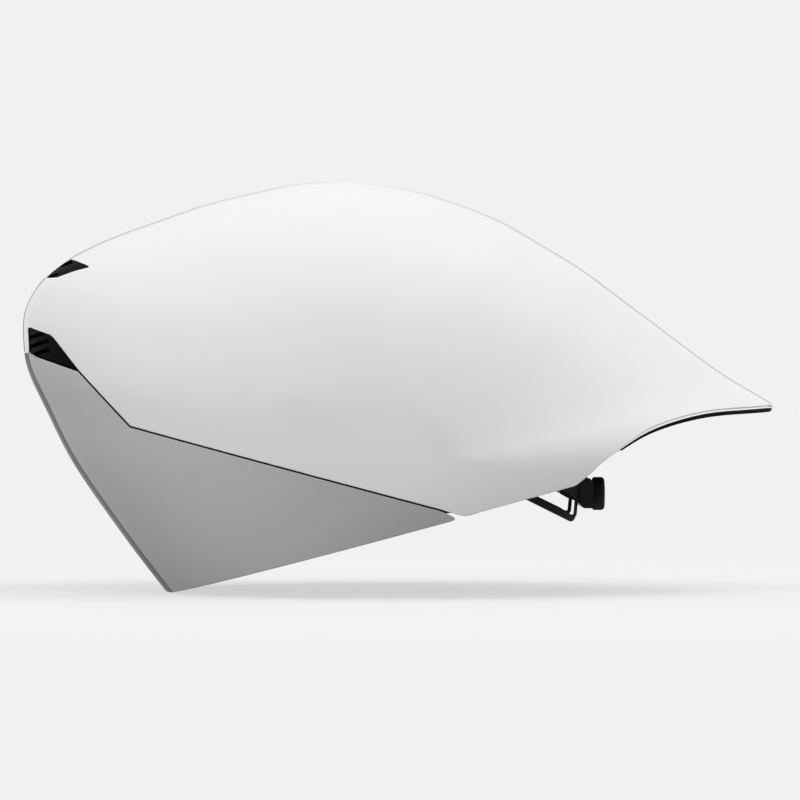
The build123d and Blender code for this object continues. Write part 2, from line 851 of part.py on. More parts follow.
def pinion():
    tip = pinion_radius + tooth_rise
    root = pinion_radius - tooth_fall
    points = []
    tooth = [(root, -foot_share), (tip, -tip_share), (tip, tip_share), (root, foot_share)]
    for i in range(pinion_teeth):
        turn = 2 * math.pi * i / pinion_teeth + math.pi / 2
        for radius, share in tooth:
            angle = turn + 2 * math.pi * share / pinion_teeth
            points.append((radius * math.cos(angle), radius * math.sin(angle)))
    gear = Plane((gear_front, 0, dial_level), x_dir=(0, 1, 0), z_dir=(1, 0, 0)) * make_face(
        Polyline(*points, close=True)
    )
    body = extrude(gear, amount=pinion_height)
    pivot_x = split_x - pivot_height + touch_gap
    body += rod(shaft_radius, pivot_x, dial_x + dial_bore_depth, 0, dial_level)
    return body - rod(
        dial_screw_radius + run_gap, dial_x + dial_height - dial_screw_length, length, 0, dial_level
    )


def dial_knob():
    points = []
    for i in range(2 * dial_ribs):
        angle = math.pi * i / dial_ribs
        radius = dial_radius - (dial_rib_depth if i % 2 else 0)
        points.append((radius * math.cos(angle), radius * math.sin(angle)))
    face = Plane((dial_x, 0, dial_level), x_dir=(0, 1, 0), z_dir=(1, 0, 0)) * make_face(
        Polyline(*points, close=True)
    )
    knob = extrude(face, amount=dial_height)
    knob &= rod(dial_radius + dial_rib_depth, dial_x, dial_x + dial_height, 0, dial_level)
    bore_end = dial_x + dial_bore_depth + run_gap
    knob -= rod(shaft_radius + run_gap, dial_x - overrun, bore_end, 0, dial_level)
    knob -= rod(dial_screw_radius + run_gap, dial_x, dial_x + 2 * dial_height, 0, dial_level)
    dish = dial_x + dial_height - screw_head_height - touch_gap
    return knob - rod(screw_head_radius + touch_gap, dish, dial_x + 2 * dial_height, 0, dial_level)


save("dial_pinion", pinion())
save("dial_knob", dial_knob())
dish_x = dial_x + dial_height - screw_head_height - touch_gap
dial_screw_x = dial_x + dial_height - dial_screw_length + touch_gap
dial_screw = rod(dial_screw_radius, dial_screw_x, dish_x + run_gap, 0, dial_level)
dial_screw += rod(screw_head_radius, dish_x, dish_x + screw_head_height, 0, dial_level)
save("dial_screw", dial_screw)
spring_x = dial_x - (dial_gap - spring_wall) / 2
click_spring = rod(spring_outer, spring_x - spring_wall, spring_x, 0, dial_level)
click_spring -= rod(spring_inner, spring_x - overrun, spring_x + overrun, 0, dial_level)
save("click_spring", click_spring)


def rack(way, level_way):
    """Toothed end of one headband belt. It engages the pinion from above or below."""
    back_z = pinion_radius + tooth_fall
    top = pinion_radius - tooth_rise
    inner = -rack_lead
    outer = rack_length - rack_lead
    points = [(outer, back_z + rack_back), (inner, back_z + rack_back)]
    places = range(math.ceil(inner / pitch + 0.5), math.floor(outer / pitch - 0.5) + 1)
    points.append((inner, back_z))
    for i in places:
        middle = (i + 0.5) * pitch
        if middle - foot_share * pitch < inner or middle + foot_share * pitch > outer:
            continue
        for offset_share, z in (
            (-foot_share, back_z), (-tip_share, top), (tip_share, top), (foot_share, back_z)
        ):
            points.append((middle + offset_share * pitch, z))
    points.append((outer, back_z))
    points = [(way * y, level_way * z) for y, z in points]
    face = Plane((gear_front, 0, dial_level), x_dir=(0, 1, 0), z_dir=(1, 0, 0)) * make_face(
        Polyline(*points, close=True)
    )
    return extrude(face, amount=pinion_height)


save("belt_rack_left", rack(-1, 1))
save("belt_rack_right", rack(1, -1))


# Comfort pads inside the head space
def head_layer(inset, thickness, clip):
    """Layer over the head space's surface, drawn in by an inset."""
    return (head_form(inset) & clip) - head_form(inset + thickness)


brow_pad_shares = [
    (-1.4160, 0.1856), (-0.6819, 0.1856), (-0.6819, 0.3294), (-1.4160, 0.3965),
]
brow_pad = head_layer(part_gap, pad_thickness, prism(lines(head_side(brow_pad_shares))))
save("brow_pad", brow_pad)

side_pad_shares = [
    (-0.3575, 0.1760), (0.3425, 0.1760), (0.2742, 0.4061), (-0.2892, 0.4061),
]
side_pads = head_layer(part_gap, pad_thickness, prism(lines(head_side(side_pad_shares))))
save("side_pads", side_pads)

crown_near = groove_breadth / 2 + 3 * touch_gap
crown_far = groove_offset - groove_breadth / 2 - 3 * touch_gap
crown_pad_shares = [(-0.5283, 0.4541), (0.4620, 0.4541)]
(crown_x0, crown_z0), (crown_x1, _) = head_side(crown_pad_shares)
right_crown = head_layer(
    part_gap, pad_thickness, block(crown_x0, crown_x1, crown_near, crown_far, crown_z0, 2 * height)
)
save("crown_pads", right_crown, mirrored(right_crown))

# Chin strap, folded up inside the head space
strap_level = strap_anchor_level + strap_anchor_height


def strap_layer(extra, thickness, clip):
    """Layer that follows the folded strap, drawn in by an extra inset."""
    outer = head_form(strap_inset + extra, strap_inset + extra, strap_drop + extra)
    inset = extra + thickness
    inner = head_form(strap_inset + inset, strap_inset + inset, strap_drop + inset)
    return (outer & clip) - inner


strap_x = head_x + strap_lead


def strap_outline():
    """Side view of one strap: an upright web that splits into a front and a rear leg."""
    half = strap_breadth / 2
    leg = leg_breadth / 2
    top = 2 * height
    return [
        (strap_x - half, top), (strap_x - half, divider_level),
        (strap_x - strap_foot_spread - leg, strap_level),
        (strap_x - strap_foot_spread + leg, strap_level),
        (strap_x, divider_level - leg_breadth),
        (strap_x + strap_foot_spread - leg, strap_level),
        (strap_x + strap_foot_spread + leg, strap_level),
        (strap_x + half, divider_level), (strap_x + half, top),
    ]


right_half = block(-length, length, buckle_half_length, width, -overrun, 2 * height)
strap = strap_layer(0, strap_wall, prism(lines(strap_outline())) & right_half)
save("chin_strap_right", strap)
save("chin_strap_left", mirrored(strap))


def keeper():
    """Rubber ring round the right strap."""
    half = strap_breadth / 2 + touch_gap
    y0, y1 = keeper_offset, keeper_offset + keeper_length
    spread = half + keeper_wall
    cover = touch_gap + keeper_wall
    ring = strap_layer(
        -cover, strap_wall + 2 * cover,
        block(strap_x - spread, strap_x + spread, y0, y1, head_level, 2 * height),
    )
    hole = strap_layer(
        -touch_gap, strap_wall + 2 * touch_gap,
        block(strap_x - half, strap_x + half, y0 - overrun, y1 + overrun, head_level, 2 * height),
    )
    return ring - hole


save("strap_keeper", keeper())

divider_shares = [(-0.5, 0.5), (0.5, 0.5), (0.62, 0.0), (0.25, -0.5), (-0.25, -0.5), (-0.62, 0.0)]
divider_outline = [
    (strap_x + x * divider_size, divider_level + z * divider_size) for x, z in divider_shares
]
divider = strap_layer(strap_wall + touch_gap, divider_wall, prism(lines(divider_outline)))
save("strap_dividers", divider)

strap_anchors = []
for way in (-1, 1):
    x = strap_x + way * strap_foot_spread
    foot_y = (half_cheek - strap_inset) * math.sqrt(
        1 - ((x - head_x) / (half_head - strap_inset)) ** 2
        - ((strap_level - head_level) / (head_rise - strap_drop)) ** 2
    )
    start = foot_y - strap_wall - part_gap
    piece = block(
        x - strap_anchor_breadth / 2, x + strap_anchor_breadth / 2, start, start + strap_anchor_depth,
        strap_anchor_level, strap_level,
    )
    strap_anchors += [piece, mirrored(piece)]
    hole = block(
        x - strap_anchor_breadth / 2 - touch_gap, x + strap_anchor_breadth / 2 + touch_gap,
        start - overrun, start + strap_anchor_depth + touch_gap,
        strap_anchor_level - touch_gap, strap_level + touch_gap,
    )
    foam_liner -= hole
    foam_liner -= mirrored(hole)
save("strap_anchors", *strap_anchors)

# Buckle, closed at the middle of the strap
strap_top = head_level + head_rise - strap_drop
buckle_mid = strap_top - strap_wall / 2 - buckle_drop
buckle_low = buckle_mid - buckle_height / 2
buckle_high = buckle_mid + buckle_height / 2
socket_end_share = 0.2
socket_end = socket_end_share * buckle_half_length
half_b = buckle_breadth / 2
socket = block(
    strap_x - half_b, strap_x + half_b, -buckle_half_length + touch_gap, socket_end,
    buckle_low, buckle_high,
)
socket = fillet(socket.edges().filter_by(Axis.Y), buckle_height / 4)
mouth = block(
    strap_x - half_b + 2 * buckle_wall, strap_x + half_b - 2 * buckle_wall,
    -buckle_half_length / 2, socket_end + overrun, buckle_low + buckle_wall, buckle_high - buckle_wall,
)
socket -= mouth
save("buckle_socket", socket)
prong_body = block(
    strap_x - half_b, strap_x + half_b, socket_end + touch_gap, buckle_half_length - touch_gap,
    buckle_low, buckle_high,
)
prong_body = fillet(prong_body.edges().filter_by(Axis.Y), buckle_height / 4)
tongue_half = half_b - 2 * buckle_wall - touch_gap
tongue_wall = buckle_wall + touch_gap
tongue = block(
    strap_x - tongue_half, strap_x + tongue_half, -buckle_half_length / 2 + 2 * part_gap,
    socket_end + 2 * touch_gap, buckle_low + tongue_wall, buckle_high - tongue_wall,
)
for way in (-1, 1):
    x = strap_x + way * prong_spread / 2
    tongue -= block(
        x - prong_slit / 2, x + prong_slit / 2, -buckle_half_length, socket_end - part_gap,
        buckle_low, buckle_high,
    )
save("buckle_prong", prong_body + tongue)

save("foam_liner", foam_liner)
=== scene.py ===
import json
import math

import bpy
import numpy as np
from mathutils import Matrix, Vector
from mathutils.geometry import delaunay_2d_cdt


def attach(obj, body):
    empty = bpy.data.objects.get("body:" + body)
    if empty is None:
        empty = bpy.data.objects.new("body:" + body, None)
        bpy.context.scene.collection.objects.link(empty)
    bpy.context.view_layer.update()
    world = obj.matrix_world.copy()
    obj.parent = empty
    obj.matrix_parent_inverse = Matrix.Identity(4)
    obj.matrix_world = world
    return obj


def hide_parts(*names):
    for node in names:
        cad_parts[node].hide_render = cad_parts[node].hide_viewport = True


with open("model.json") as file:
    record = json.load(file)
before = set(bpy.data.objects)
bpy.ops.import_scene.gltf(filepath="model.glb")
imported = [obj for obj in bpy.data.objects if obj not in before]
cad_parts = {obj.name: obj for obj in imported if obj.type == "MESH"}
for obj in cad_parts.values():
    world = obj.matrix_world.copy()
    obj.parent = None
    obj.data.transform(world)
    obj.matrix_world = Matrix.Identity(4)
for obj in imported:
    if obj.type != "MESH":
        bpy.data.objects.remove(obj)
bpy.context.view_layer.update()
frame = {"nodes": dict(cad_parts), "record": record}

nodes = frame["nodes"]
mm = 0.001

# Overall size of the helmet, as in the frame
length = 351.7 * mm
height = 191.8 * mm
half_width = 102.0 * mm

# Skins and their edges
shell_wall = 1.6 * mm
lens_wall = 2.2 * mm
shell_bevel = 0.3 * mm
lens_bevel = 0.35 * mm
panel_wall = 1.7 * mm
corner_round = 1.6 * mm
vent_round = corner_round / 3
lens_round = corner_round / 2
# Half a corner's angle past which it counts as straight, and the most of a side that its arc uses
straight_half = math.radians(88)
corner_limit_share = 0.45

# Seam: how far the shield's edge lies below the shell's, how far forward and down where it slants,
# and how far down at the nose
edge_gap = 0.78 * mm
seam_shift = (0.40 * mm, 0.67 * mm)
lens_lip_gap = 0.25 * mm

# Fineness of the skins: triangles on the disc, small steps for slopes, and points along the rims
mesh_step = 0.014
mesh_margin_share = 0.6
turn_step = 0.01
disc_step = 0.002
rim_step = 0.9 * mm
least_rim_points = 8
line_step = 0.1 * mm
# Points nearer than this are one, in a piece and on the disc
weld_step = 1e-7
disc_weld_step = 1e-9
# Places this near the disc's edge or the middle plane lie on it
disc_edge_limit = 1e-6
middle_limit = 1e-9

# Folded lip along the tail's edge: a step in the skin, and the strip below it. It fades in over a
# run of the length.
fold_run_shares = (0.765, 0.83)
fold_breadth = 1.4 * mm
fold_step = 0.15 * mm
fold_foot = 0.8 * mm
fold_depth = 0.45 * mm
fold_rim_depth = fold_depth / 3

# Head space, headband and straps
head_x = -30.0 * mm
head_level = 62.0 * mm
half_head = 103.0 * mm
half_cheek = 79.0 * mm
head_rise = 100.0 * mm
pad_inset = 0.3 * mm
pad_wall = 5.2 * mm
cradle_x = 11.85 * mm
cradle_reach = 81.3 * mm
cradle_half = 71.0 * mm
arm_level = 60.0 * mm
nape_inset = 2.15 * mm
nape_wall = 3.0 * mm
strap_x = head_x + 5.0 * mm
strap_breadth = 15.0 * mm
leg_breadth = 12.0 * mm
strap_wall = 1.2 * mm
strap_inset = 12.7 * mm
strap_drop = 14.0 * mm
strap_level = 47.6 * mm
strap_foot_spread = 26.0 * mm
strap_end = 19.2 * mm
divider_level = 92.0 * mm
# How long each band of the strap is, for the weave on it
web_run = 95.0 * mm
leg_run = 50.0 * mm

# Dial
dial_x = 90.39 * mm
dial_level = 45.4 * mm
dial_radius = 7.75 * mm
dial_height = 5.9 * mm
dial_round = 1.7 * mm
dial_round_points = 6
dial_foot_share = 0.6
dial_ribs = 60
dial_rib_points = 6
dial_rib_depth = 0.22 * mm
dial_bore = (2.1 * mm, 3.1 * mm)
dial_dish = (2.2 * mm, 1.05 * mm)
dial_hole = 0.9 * mm
dial_face_step = 0.3 * mm
# Faces that meet at more than this angle are shaded apart
sharp_turn = math.radians(50)

# Camera, from the photo's 800 by 800 frame
frame_pixels = 800
pixel = 0.4685 * mm
camera_distance = 2.1
view_centre = (0.55 * mm, 89.2 * mm)
sensor = 36.0

# Light levels
backdrop = 0.879
sky_level = 0.39
floor_bounce = 0.29
floor_paint = 0.90
shadow_share = 0.30
shadow_fade = (0.25, 0.60)
studio_dark = 0.08
# How dark the studio is for mirrors, by how nearly a direction lies along Y. It rises from nothing
# straight above and below to its full share towards nose and tail.
studio_ring = [(0.950, 0.0), (0.965, 1.0), (0.990, 1.0), (0.994, 0.0)]
studio_rise = 5.0
# Soft lamps: where from, how wide and how strong
lamps = {
    "key_light": ((0.0, -0.9, 2.05), 1.6, 13.0),
    "nose_light": ((-1.25, -1.15, 0.05), 1.4, 17.8),
    "rear_light": ((1.24, 0.15, 2.1), 1.6, 25.5),
    "far_light": ((-0.2, 1.9, 0.9), 1.6, 9.0),
}
lamp_aim = (0.0, 0.0, 0.1)
floor_half = 6.0


def side(points):
    """Side view points, from shares of the length and height to X and Z."""
    return [((x - 0.5) * length, z * height) for x, z in points]


# Side outline of the outer surface, in shares of length and height from the nose and the floor.
# Below the edges of shell and shield, and behind the tail, it only guides the surface.
silhouette_shares = [
    (0.1896, 0.0000), (0.1479, 0.0991), (0.0998, 0.2211), (0.0572, 0.3431), (0.0247, 0.4651),
    (0.0054, 0.5474), (0.0003, 0.6152), (0.0020, 0.6778), (0.0154, 0.7315), (0.0353, 0.7753),
    (0.0753, 0.8243), (0.1285, 0.8686), (0.1817, 0.9035), (0.2351, 0.9380), (0.2883, 0.9635),
    (0.3418, 0.9854), (0.4217, 0.9990), (0.4748, 0.9906), (0.5283, 0.9724), (0.5814, 0.9416),
    (0.6346, 0.9025), (0.6881, 0.8462), (0.7412, 0.7868), (0.7947, 0.7143), (0.8479, 0.6413),
    (0.9010, 0.5678), (0.9545, 0.5021), (1.0028, 0.4484), (1.0426, 0.3754), (1.0483, 0.2711),
    (1.0028, 0.1147), (0.9118, -0.0521), (0.7981, -0.1773), (0.6559, -0.2607), (0.5138, -0.2972),
    (0.3716, -0.2711), (0.2749, -0.1773),
]
centre_shares = (0.5280, 0.3128)
# How full the cross sections are: the mean, then how that varies round the side view
fullness_shares = dict(mean=0.0525, along=-0.405, upright=0.05, double=-0.0975)


def closed_curve(knots, values, period):
    """Smooth periodic curve through values at rising knots."""
    count = len(knots)
    knots, values = np.array(knots), np.array(values)
    steps = np.diff(np.append(knots, knots[0] + period))
    matrix = np.zeros((count, count))
    rates = np.zeros(count)
    for i in range(count):
        before, after = steps[i - 1], steps[i]
        matrix[i, i - 1] += before
        matrix[i, i] += 2 * (before + after)
        matrix[i, (i + 1) % count] += after
        rise = (values[(i + 1) % count] - values[i]) / after
        rates[i] = 6 * (rise - (values[i] - values[i - 1]) / before)
    bends = np.linalg.solve(matrix, rates)

    def value(place):
        place = (place - knots[0]) % period + knots[0]
        i = np.clip(np.searchsorted(knots, place, side="right") - 1, 0, count - 1)
        j = (i + 1) % count
        left = (knots[i] + steps[i] - place) / steps[i]
        right = 1 - left
        bend = (left**3 - left) * bends[i] + (right**3 - right) * bends[j]
        return left * values[i] + right * values[j] + bend * steps[i] ** 2 / 6

    return value


centre_x, centre_z = side([centre_shares])[0]
polar = sorted(
    (math.atan2(z - centre_z, x - centre_x), math.hypot(x - centre_x, z - centre_z))
    for x, z in side(silhouette_shares)
)
outline_reach = closed_curve([a for a, r in polar], [r for a, r in polar], 2 * math.pi)


def fullness(angle):
    """How far a cross section swells past an ellipse, by direction seen from the left side."""
    along = fullness_shares["along"] * np.cos(angle) + fullness_shares["upright"] * np.sin(angle)
    return fullness_shares["mean"] + along + fullness_shares["double"] * np.cos(2 * angle)


def reach(angle, depth):
    """Distance from the surface's centre to its side outline, a depth below the surface."""
    rho = outline_reach(angle)
    slope = (outline_reach(angle + turn_step) - outline_reach(angle - turn_step)) / (2 * turn_step)
    return rho - depth * np.hypot(1, slope / rho)


def surface(u, v, depth):
    """Point on the left half. On the disc (u, v) the middle is the widest place, the edge the outline."""
    angle = np.arctan2(v, u)
    tilt = np.hypot(u, v) * math.pi / 2
    share = np.sin(tilt)
    x = centre_x + reach(angle, depth) * share * np.cos(angle)
    z = centre_z + reach(angle, depth) * share * np.sin(angle)
    y = -(half_width - depth) * np.cos(tilt) * np.sqrt(1 + fullness(angle) * share**2)
    return np.stack([x, y, z], axis=-1)


def surface_normal(u, v, depth):
    """Outward normal there, from small steps on the disc."""
    across = surface(u + disc_step, v, depth) - surface(u - disc_step, v, depth)
    up = surface(u, v + disc_step, depth) - surface(u, v - disc_step, depth)
    facing = np.cross(across, up)
    return facing / np.linalg.norm(facing, axis=-1, keepdims=True)


def shares_of_reach(points, depth):
    """Direction of side view points from the surface's centre, and how near the outline they lie."""
    dx, dz = points[:, 0] - centre_x, points[:, 1] - centre_z
    angle = np.arctan2(dz, dx)
    return angle, np.hypot(dx, dz) / reach(angle, depth)


def smooth_run(points, count=24):
    """Even curve through points, with natural ends."""
    points = np.array(points, float)
    knots = np.append(0, np.cumsum(np.linalg.norm(np.diff(points, axis=0), axis=1)))
    size = len(points)
    gaps = np.diff(knots)
    matrix = np.eye(size)
    rates = np.zeros((size, 2))
    for i in range(1, size - 1):
        matrix[i, i - 1] = gaps[i - 1]
        matrix[i, i] = 2 * (gaps[i - 1] + gaps[i])
        matrix[i, i + 1] = gaps[i]
        rise = (points[i + 1] - points[i]) / gaps[i] - (points[i] - points[i - 1]) / gaps[i - 1]
        rates[i] = 6 * rise
    bends = np.linalg.solve(matrix, rates)
    found = []
    for i in range(size - 1):
        for k in range(count):
            right = k / count
            left = 1 - right
            place = left * points[i] + right * points[i + 1]
            curve = (left**3 - left) * bends[i] + (right**3 - right) * bends[i + 1]
            found.append(place + curve * gaps[i] ** 2 / 6)
    return [tuple(p) for p in found] + [tuple(points[-1])]


def rounded(points, radius, steps=6):
    """Outline with an arc in place of each corner."""
    points = [np.array(p, float) for p in points]
    found = [points[0]]
    for before, here, after in zip(points, points[1:], points[2:]):
        back, ahead = before - here, after - here
        lengths = np.linalg.norm(back), np.linalg.norm(ahead)
        back, ahead = back / lengths[0], ahead / lengths[1]
        half = math.acos(float(np.clip(back @ ahead, -1, 1))) / 2
        if half > straight_half:
            found.append(here)
            continue
        cut = min(radius / math.tan(half), corner_limit_share * min(lengths))
        start, end = here + back * cut, here + ahead * cut
        for k in range(steps + 1):
            t = k / steps
            found.append((1 - t) ** 2 * start + 2 * t * (1 - t) * here + t**2 * end)
    return [tuple(p) for p in found + [points[-1]]]


def lengths_along(points):
    """Length of a line up to each of its points."""
    return np.append(0, np.cumsum(np.linalg.norm(np.diff(points, axis=0), axis=1)))


def spread_evenly(points, count, *more):
    """The same polyline with evenly spaced points, and any values along it at those points."""
    lengths = lengths_along(points)
    spots = np.linspace(0, lengths[-1], count)
    even = np.stack([np.interp(spots, lengths, points[:, k]) for k in (0, 1)], axis=-1)
    return (even, *[np.interp(spots, lengths, values) for values in more])


def dense(points):
    """The same line with points close together."""
    points = np.array(points, float)
    return spread_evenly(points, int(lengths_along(points)[-1] / line_step) + 2)[0]


def sideways(points):
    """Unit vectors to the left of travel, at each point of a side view line."""
    along = np.gradient(points, axis=0)
    along /= np.linalg.norm(along, axis=1, keepdims=True)
    return np.stack([-along[:, 1], along[:, 0]], axis=-1)


def trace(line, inward, depth, count):
    """The part of a side view line inside the outline, moved left: disc points and depths."""
    moved = line + sideways(line) * inward[:, None]
    angle, share = shares_of_reach(moved, depth)
    inside = np.flatnonzero(share < 1)
    first, last = inside[0], inside[-1]
    run, depths = moved[first:last + 1], depth[first:last + 1]
    for near, far, front in ((first, first - 1, True), (last, last + 1, False)):
        if 0 <= far < len(moved):
            t = (1 - share[near]) / (share[far] - share[near])
            end = moved[near] + t * (moved[far] - moved[near])
            run = np.vstack([end, run]) if front else np.vstack([run, end])
            depths = np.append(depth[near], depths) if front else np.append(depths, depth[near])
    even, depths = spread_evenly(run, count, depths)
    angle, share = shares_of_reach(even, depths)
    radius = np.arcsin(np.clip(share, 0, 1)) * 2 / math.pi
    disc = np.stack([radius * np.cos(angle), radius * np.sin(angle)], axis=-1)
    for end in (0, -1):
        disc[end] /= np.linalg.norm(disc[end])
    return disc, depths


def arc_between(start, end):
    """Disc edge points from one to the other, anticlockwise, without the ends."""
    a = math.atan2(start[1], start[0])
    b = math.atan2(end[1], end[0])
    while b <= a:
        b += 2 * math.pi
    count = max(int((b - a) / mesh_step), 1)
    turns = a + (b - a) * np.arange(1, count) / count
    return np.stack([np.cos(turns), np.sin(turns)], axis=-1)


def inside_loop(points, loop):
    """Whether each point lies inside a closed loop."""
    x, y = points[:, 0], points[:, 1]
    inside = np.zeros(len(points), bool)
    for (x0, y0), (x1, y1) in zip(loop, np.roll(loop, -1, axis=0)):
        if y0 != y1:
            crosses = (y0 > y) != (y1 > y)
            inside ^= crosses & (x < (x1 - x0) * (y - y0) / (y1 - y0) + x0)
    return inside


def fill_loop(loop):
    """Even triangles inside a closed loop: points and faces."""
    low, high = loop.min(axis=0) - mesh_step, loop.max(axis=0) + mesh_step
    rows = []
    for i, y in enumerate(np.arange(low[1], high[1], mesh_step * math.sqrt(3) / 2)):
        xs = np.arange(low[0] + (i % 2) * mesh_step / 2, high[0], mesh_step)
        rows.append(np.stack([xs, np.full(len(xs), y)], axis=-1))
    grid = np.vstack(rows)
    grid = grid[inside_loop(grid, loop)]
    gaps = np.min([np.linalg.norm(grid - p, axis=1) for p in loop], axis=0)
    points = np.vstack([loop, grid[gaps > mesh_margin_share * mesh_step]])
    ring = [(i, (i + 1) % len(loop)) for i in range(len(loop))]
    made = delaunay_2d_cdt([Vector(p) for p in points], ring, [], 1, disc_weld_step)
    spots = np.array([tuple(v) for v in made[0]])
    faces = np.array([f for f in made[2] if len(f) == 3])
    return spots, faces[inside_loop(spots[faces].mean(axis=1), loop)]


def link(name, data):
    made = bpy.data.objects.new(name, data)
    bpy.context.scene.collection.objects.link(made)
    return made


def new_piece(name, points, faces, normals=None, uvs=None):
    """Mesh object, welded, with its own normals and places on its cloth where they are given."""
    points = np.asarray(points, float)
    keys = {}
    order = []
    merged = []
    for i, p in enumerate(np.round(points / weld_step).astype(np.int64)):
        key = tuple(p)
        if key not in keys:
            keys[key] = len(order)
            order.append(i)
        merged.append(keys[key])
    clean = []
    corners = []
    for face in faces:
        seen = {merged[i]: i for i in face}
        if len(seen) > 2:
            clean.append(list(seen))
            corners += list(seen.values())
    mesh = bpy.data.meshes.new(name)
    mesh.from_pydata(points[order].tolist(), [], clean)
    if uvs is not None:
        layer = mesh.uv_layers.new(name="weave")
        layer.data.foreach_set("uv", np.asarray(uvs, float)[corners].ravel())
    mesh.polygons.foreach_set("use_smooth", [True] * len(mesh.polygons))
    if normals is not None:
        mesh.normals_split_custom_set_from_vertices(normals[order].tolist())
    return link(name, mesh)


body_names = {n: b for b, names in frame["record"]["behaviour"]["bodies"].items() for n in names}


def stand_for(piece, slot, *replaced):
    """The piece rides with the nodes that it stands for, which it hides. The slot is not used."""
    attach(piece, body_names[replaced[0]])
    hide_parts(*replaced)
    return piece


# Shell and shield: curved skins, cut along side view lines
def skin_patch(discs, depth, outer):
    """One face of a skin, within the traced lines: points, triangles and normals."""
    loop = []
    for k, line in enumerate(discs):
        loop += [line, arc_between(line[-1], discs[(k + 1) % len(discs)][0])]
    spots, triangles = fill_loop(np.vstack(loop))
    way = 1 if outer else -1
    facing = way * surface_normal(spots[:, 0], spots[:, 1], depth)
    points = surface(spots[:, 0], spots[:, 1], depth)
    points[np.abs(np.hypot(spots[:, 0], spots[:, 1]) - 1) < disc_edge_limit, 1] = 0
    a, b, c = (points[triangles[:, k]] for k in range(3))
    middle = spots[triangles].mean(axis=1)
    outward = way * surface_normal(middle[:, 0], middle[:, 1], depth)
    wrong = (np.cross(b - a, c - a) * outward).sum(axis=1) < 0
    return points, np.where(wrong[:, None], triangles[:, ::-1], triangles).tolist(), facing


def skin_piece(name, cuts, rows):
    """Skin over both halves. Each cut is a side view line with the skin on its left. Each row of the
    rim is how far it lies inside the cut and how deep, for the line's points."""
    lines = [dense(cut) for cut in cuts]
    counts = [max(int(len(line) * line_step / rim_step), least_rim_points) for line in lines]
    traced = [
        [trace(line, inward(line), depth(line), count) for line, count in zip(lines, counts)]
        for inward, depth in rows
    ]
    points, faces, normals = [], [], []

    def take(more_points, more_faces, more_normals):
        start = sum(len(p) for p in points)
        points.append(more_points)
        normals.append(more_normals)
        faces.extend([[i + start for i in f] for f in more_faces])

    for row, outer in ((traced[0], True), (traced[-1], False)):
        take(*skin_patch([disc for disc, depths in row], row[0][1][0], outer))
    for k, count in enumerate(counts):
        quads = [[i + 1, i, count + i, count + i + 1] for i in range(count - 1)]
        for near, far in zip(traced, traced[1:]):
            strip = []
            for disc, depths in (near[k], far[k]):
                line = surface(disc[:, 0], disc[:, 1], depths)
                line[[0, -1], 1] = 0
                strip.append(line)
            take(np.vstack(strip), quads, np.zeros((2 * count, 3)))
    points, normals = np.vstack(points), np.vstack(normals)
    start = len(points)
    points = np.vstack([points, points * (1, -1, 1)])
    normals = np.vstack([normals, normals * (1, -1, 1)])
    normals[np.abs(points[:, 1]) < middle_limit, 1] = 0
    return new_piece(name, points, faces + [[i + start for i in f[::-1]] for f in faces], normals)


def tail_share(line):
    """How much of the tail's folded lip a place on the edge has."""
    start, end = [x for x, z in side([(share, 0) for share in fold_run_shares])]
    t = np.clip((line[:, 0] - start) / (end - start), 0, 1)
    return t * t * (3 - 2 * t)


def rim_rows(bevel, wall, fold=0):
    """Rounded rim of a skin, from its face to its back, below a fold where it has one."""
    turned = bevel * (1 - math.sin(math.pi / 4))

    def row(inward, depth, fold_inward, fold_down):
        def along(plain, folded):
            return lambda line: plain + (folded - plain) * tail_share(line) * fold

        return along(inward, fold_inward), along(depth, fold_down)

    return [
        row(bevel, 0, fold_breadth, 0),
        row(bevel, 0, fold_breadth - fold_step, fold_depth),
        row(bevel, 0, fold_foot, fold_depth),
        row(bevel, 0, bevel, fold_rim_depth),
        row(turned, turned, turned, fold_rim_depth + turned),
        row(0, bevel, 0, fold_rim_depth + bevel),
        row(0, wall - bevel, 0, wall - bevel),
        row(turned, wall - turned, turned, wall - turned),
        row(bevel, wall, bevel, wall),
    ]


brow_edge_shares = [(0.0070, 0.5810), (0.0190, 0.5765), (0.0860, 0.5360), (0.1550, 0.4040)]
ear_turn_shares = [(0.5520, 0.2110), (0.5700, 0.2005), (0.5840, 0.1950), (0.6000, 0.2020)]
# Underside of the tail, from the flank back, with how much of the tail panel's wall is below it
tail_edge_shares = [
    (0.7250, 0.2640, 0.0), (0.7430, 0.2890, 0.1), (0.7600, 0.3160, 0.25), (0.7850, 0.3460, 0.5),
    (0.8150, 0.3780, 0.7), (0.8360, 0.3940, 0.8), (0.8670, 0.4110, 0.9), (0.9090, 0.4255, 1.0),
    (0.9500, 0.4315, 1.0), (0.9890, 0.4365, 1.0),
]
tail_corner_shares = [(0.9945, 0.4440), (1.0003, 0.4535), (1.2, 0.65)]
upper_vent_shares = [
    (0.0160, 0.8450), (0.0660, 0.8076), (0.0972, 0.7842), (0.0745, 0.7742), (0.0520, 0.7607),
    (0.0415, 0.7602), (0.0250, 0.7640), (-0.0500, 0.7900),
]
lower_vent_shares = [
    (0.0134, 0.5780), (0.0134, 0.6000), (0.0120, 0.6387), (0.0154, 0.6397), (0.0461, 0.6204),
    (0.0517, 0.6121), (0.0860, 0.5360),
]
shield_low_shares = [(0.1995, 0.0), (0.5660, 0.1820), (0.5710, 0.1855), (0.5715, 0.1895), (0.5680, 0.1945)]
lens_lip_share = (0.0240, 0.5735)

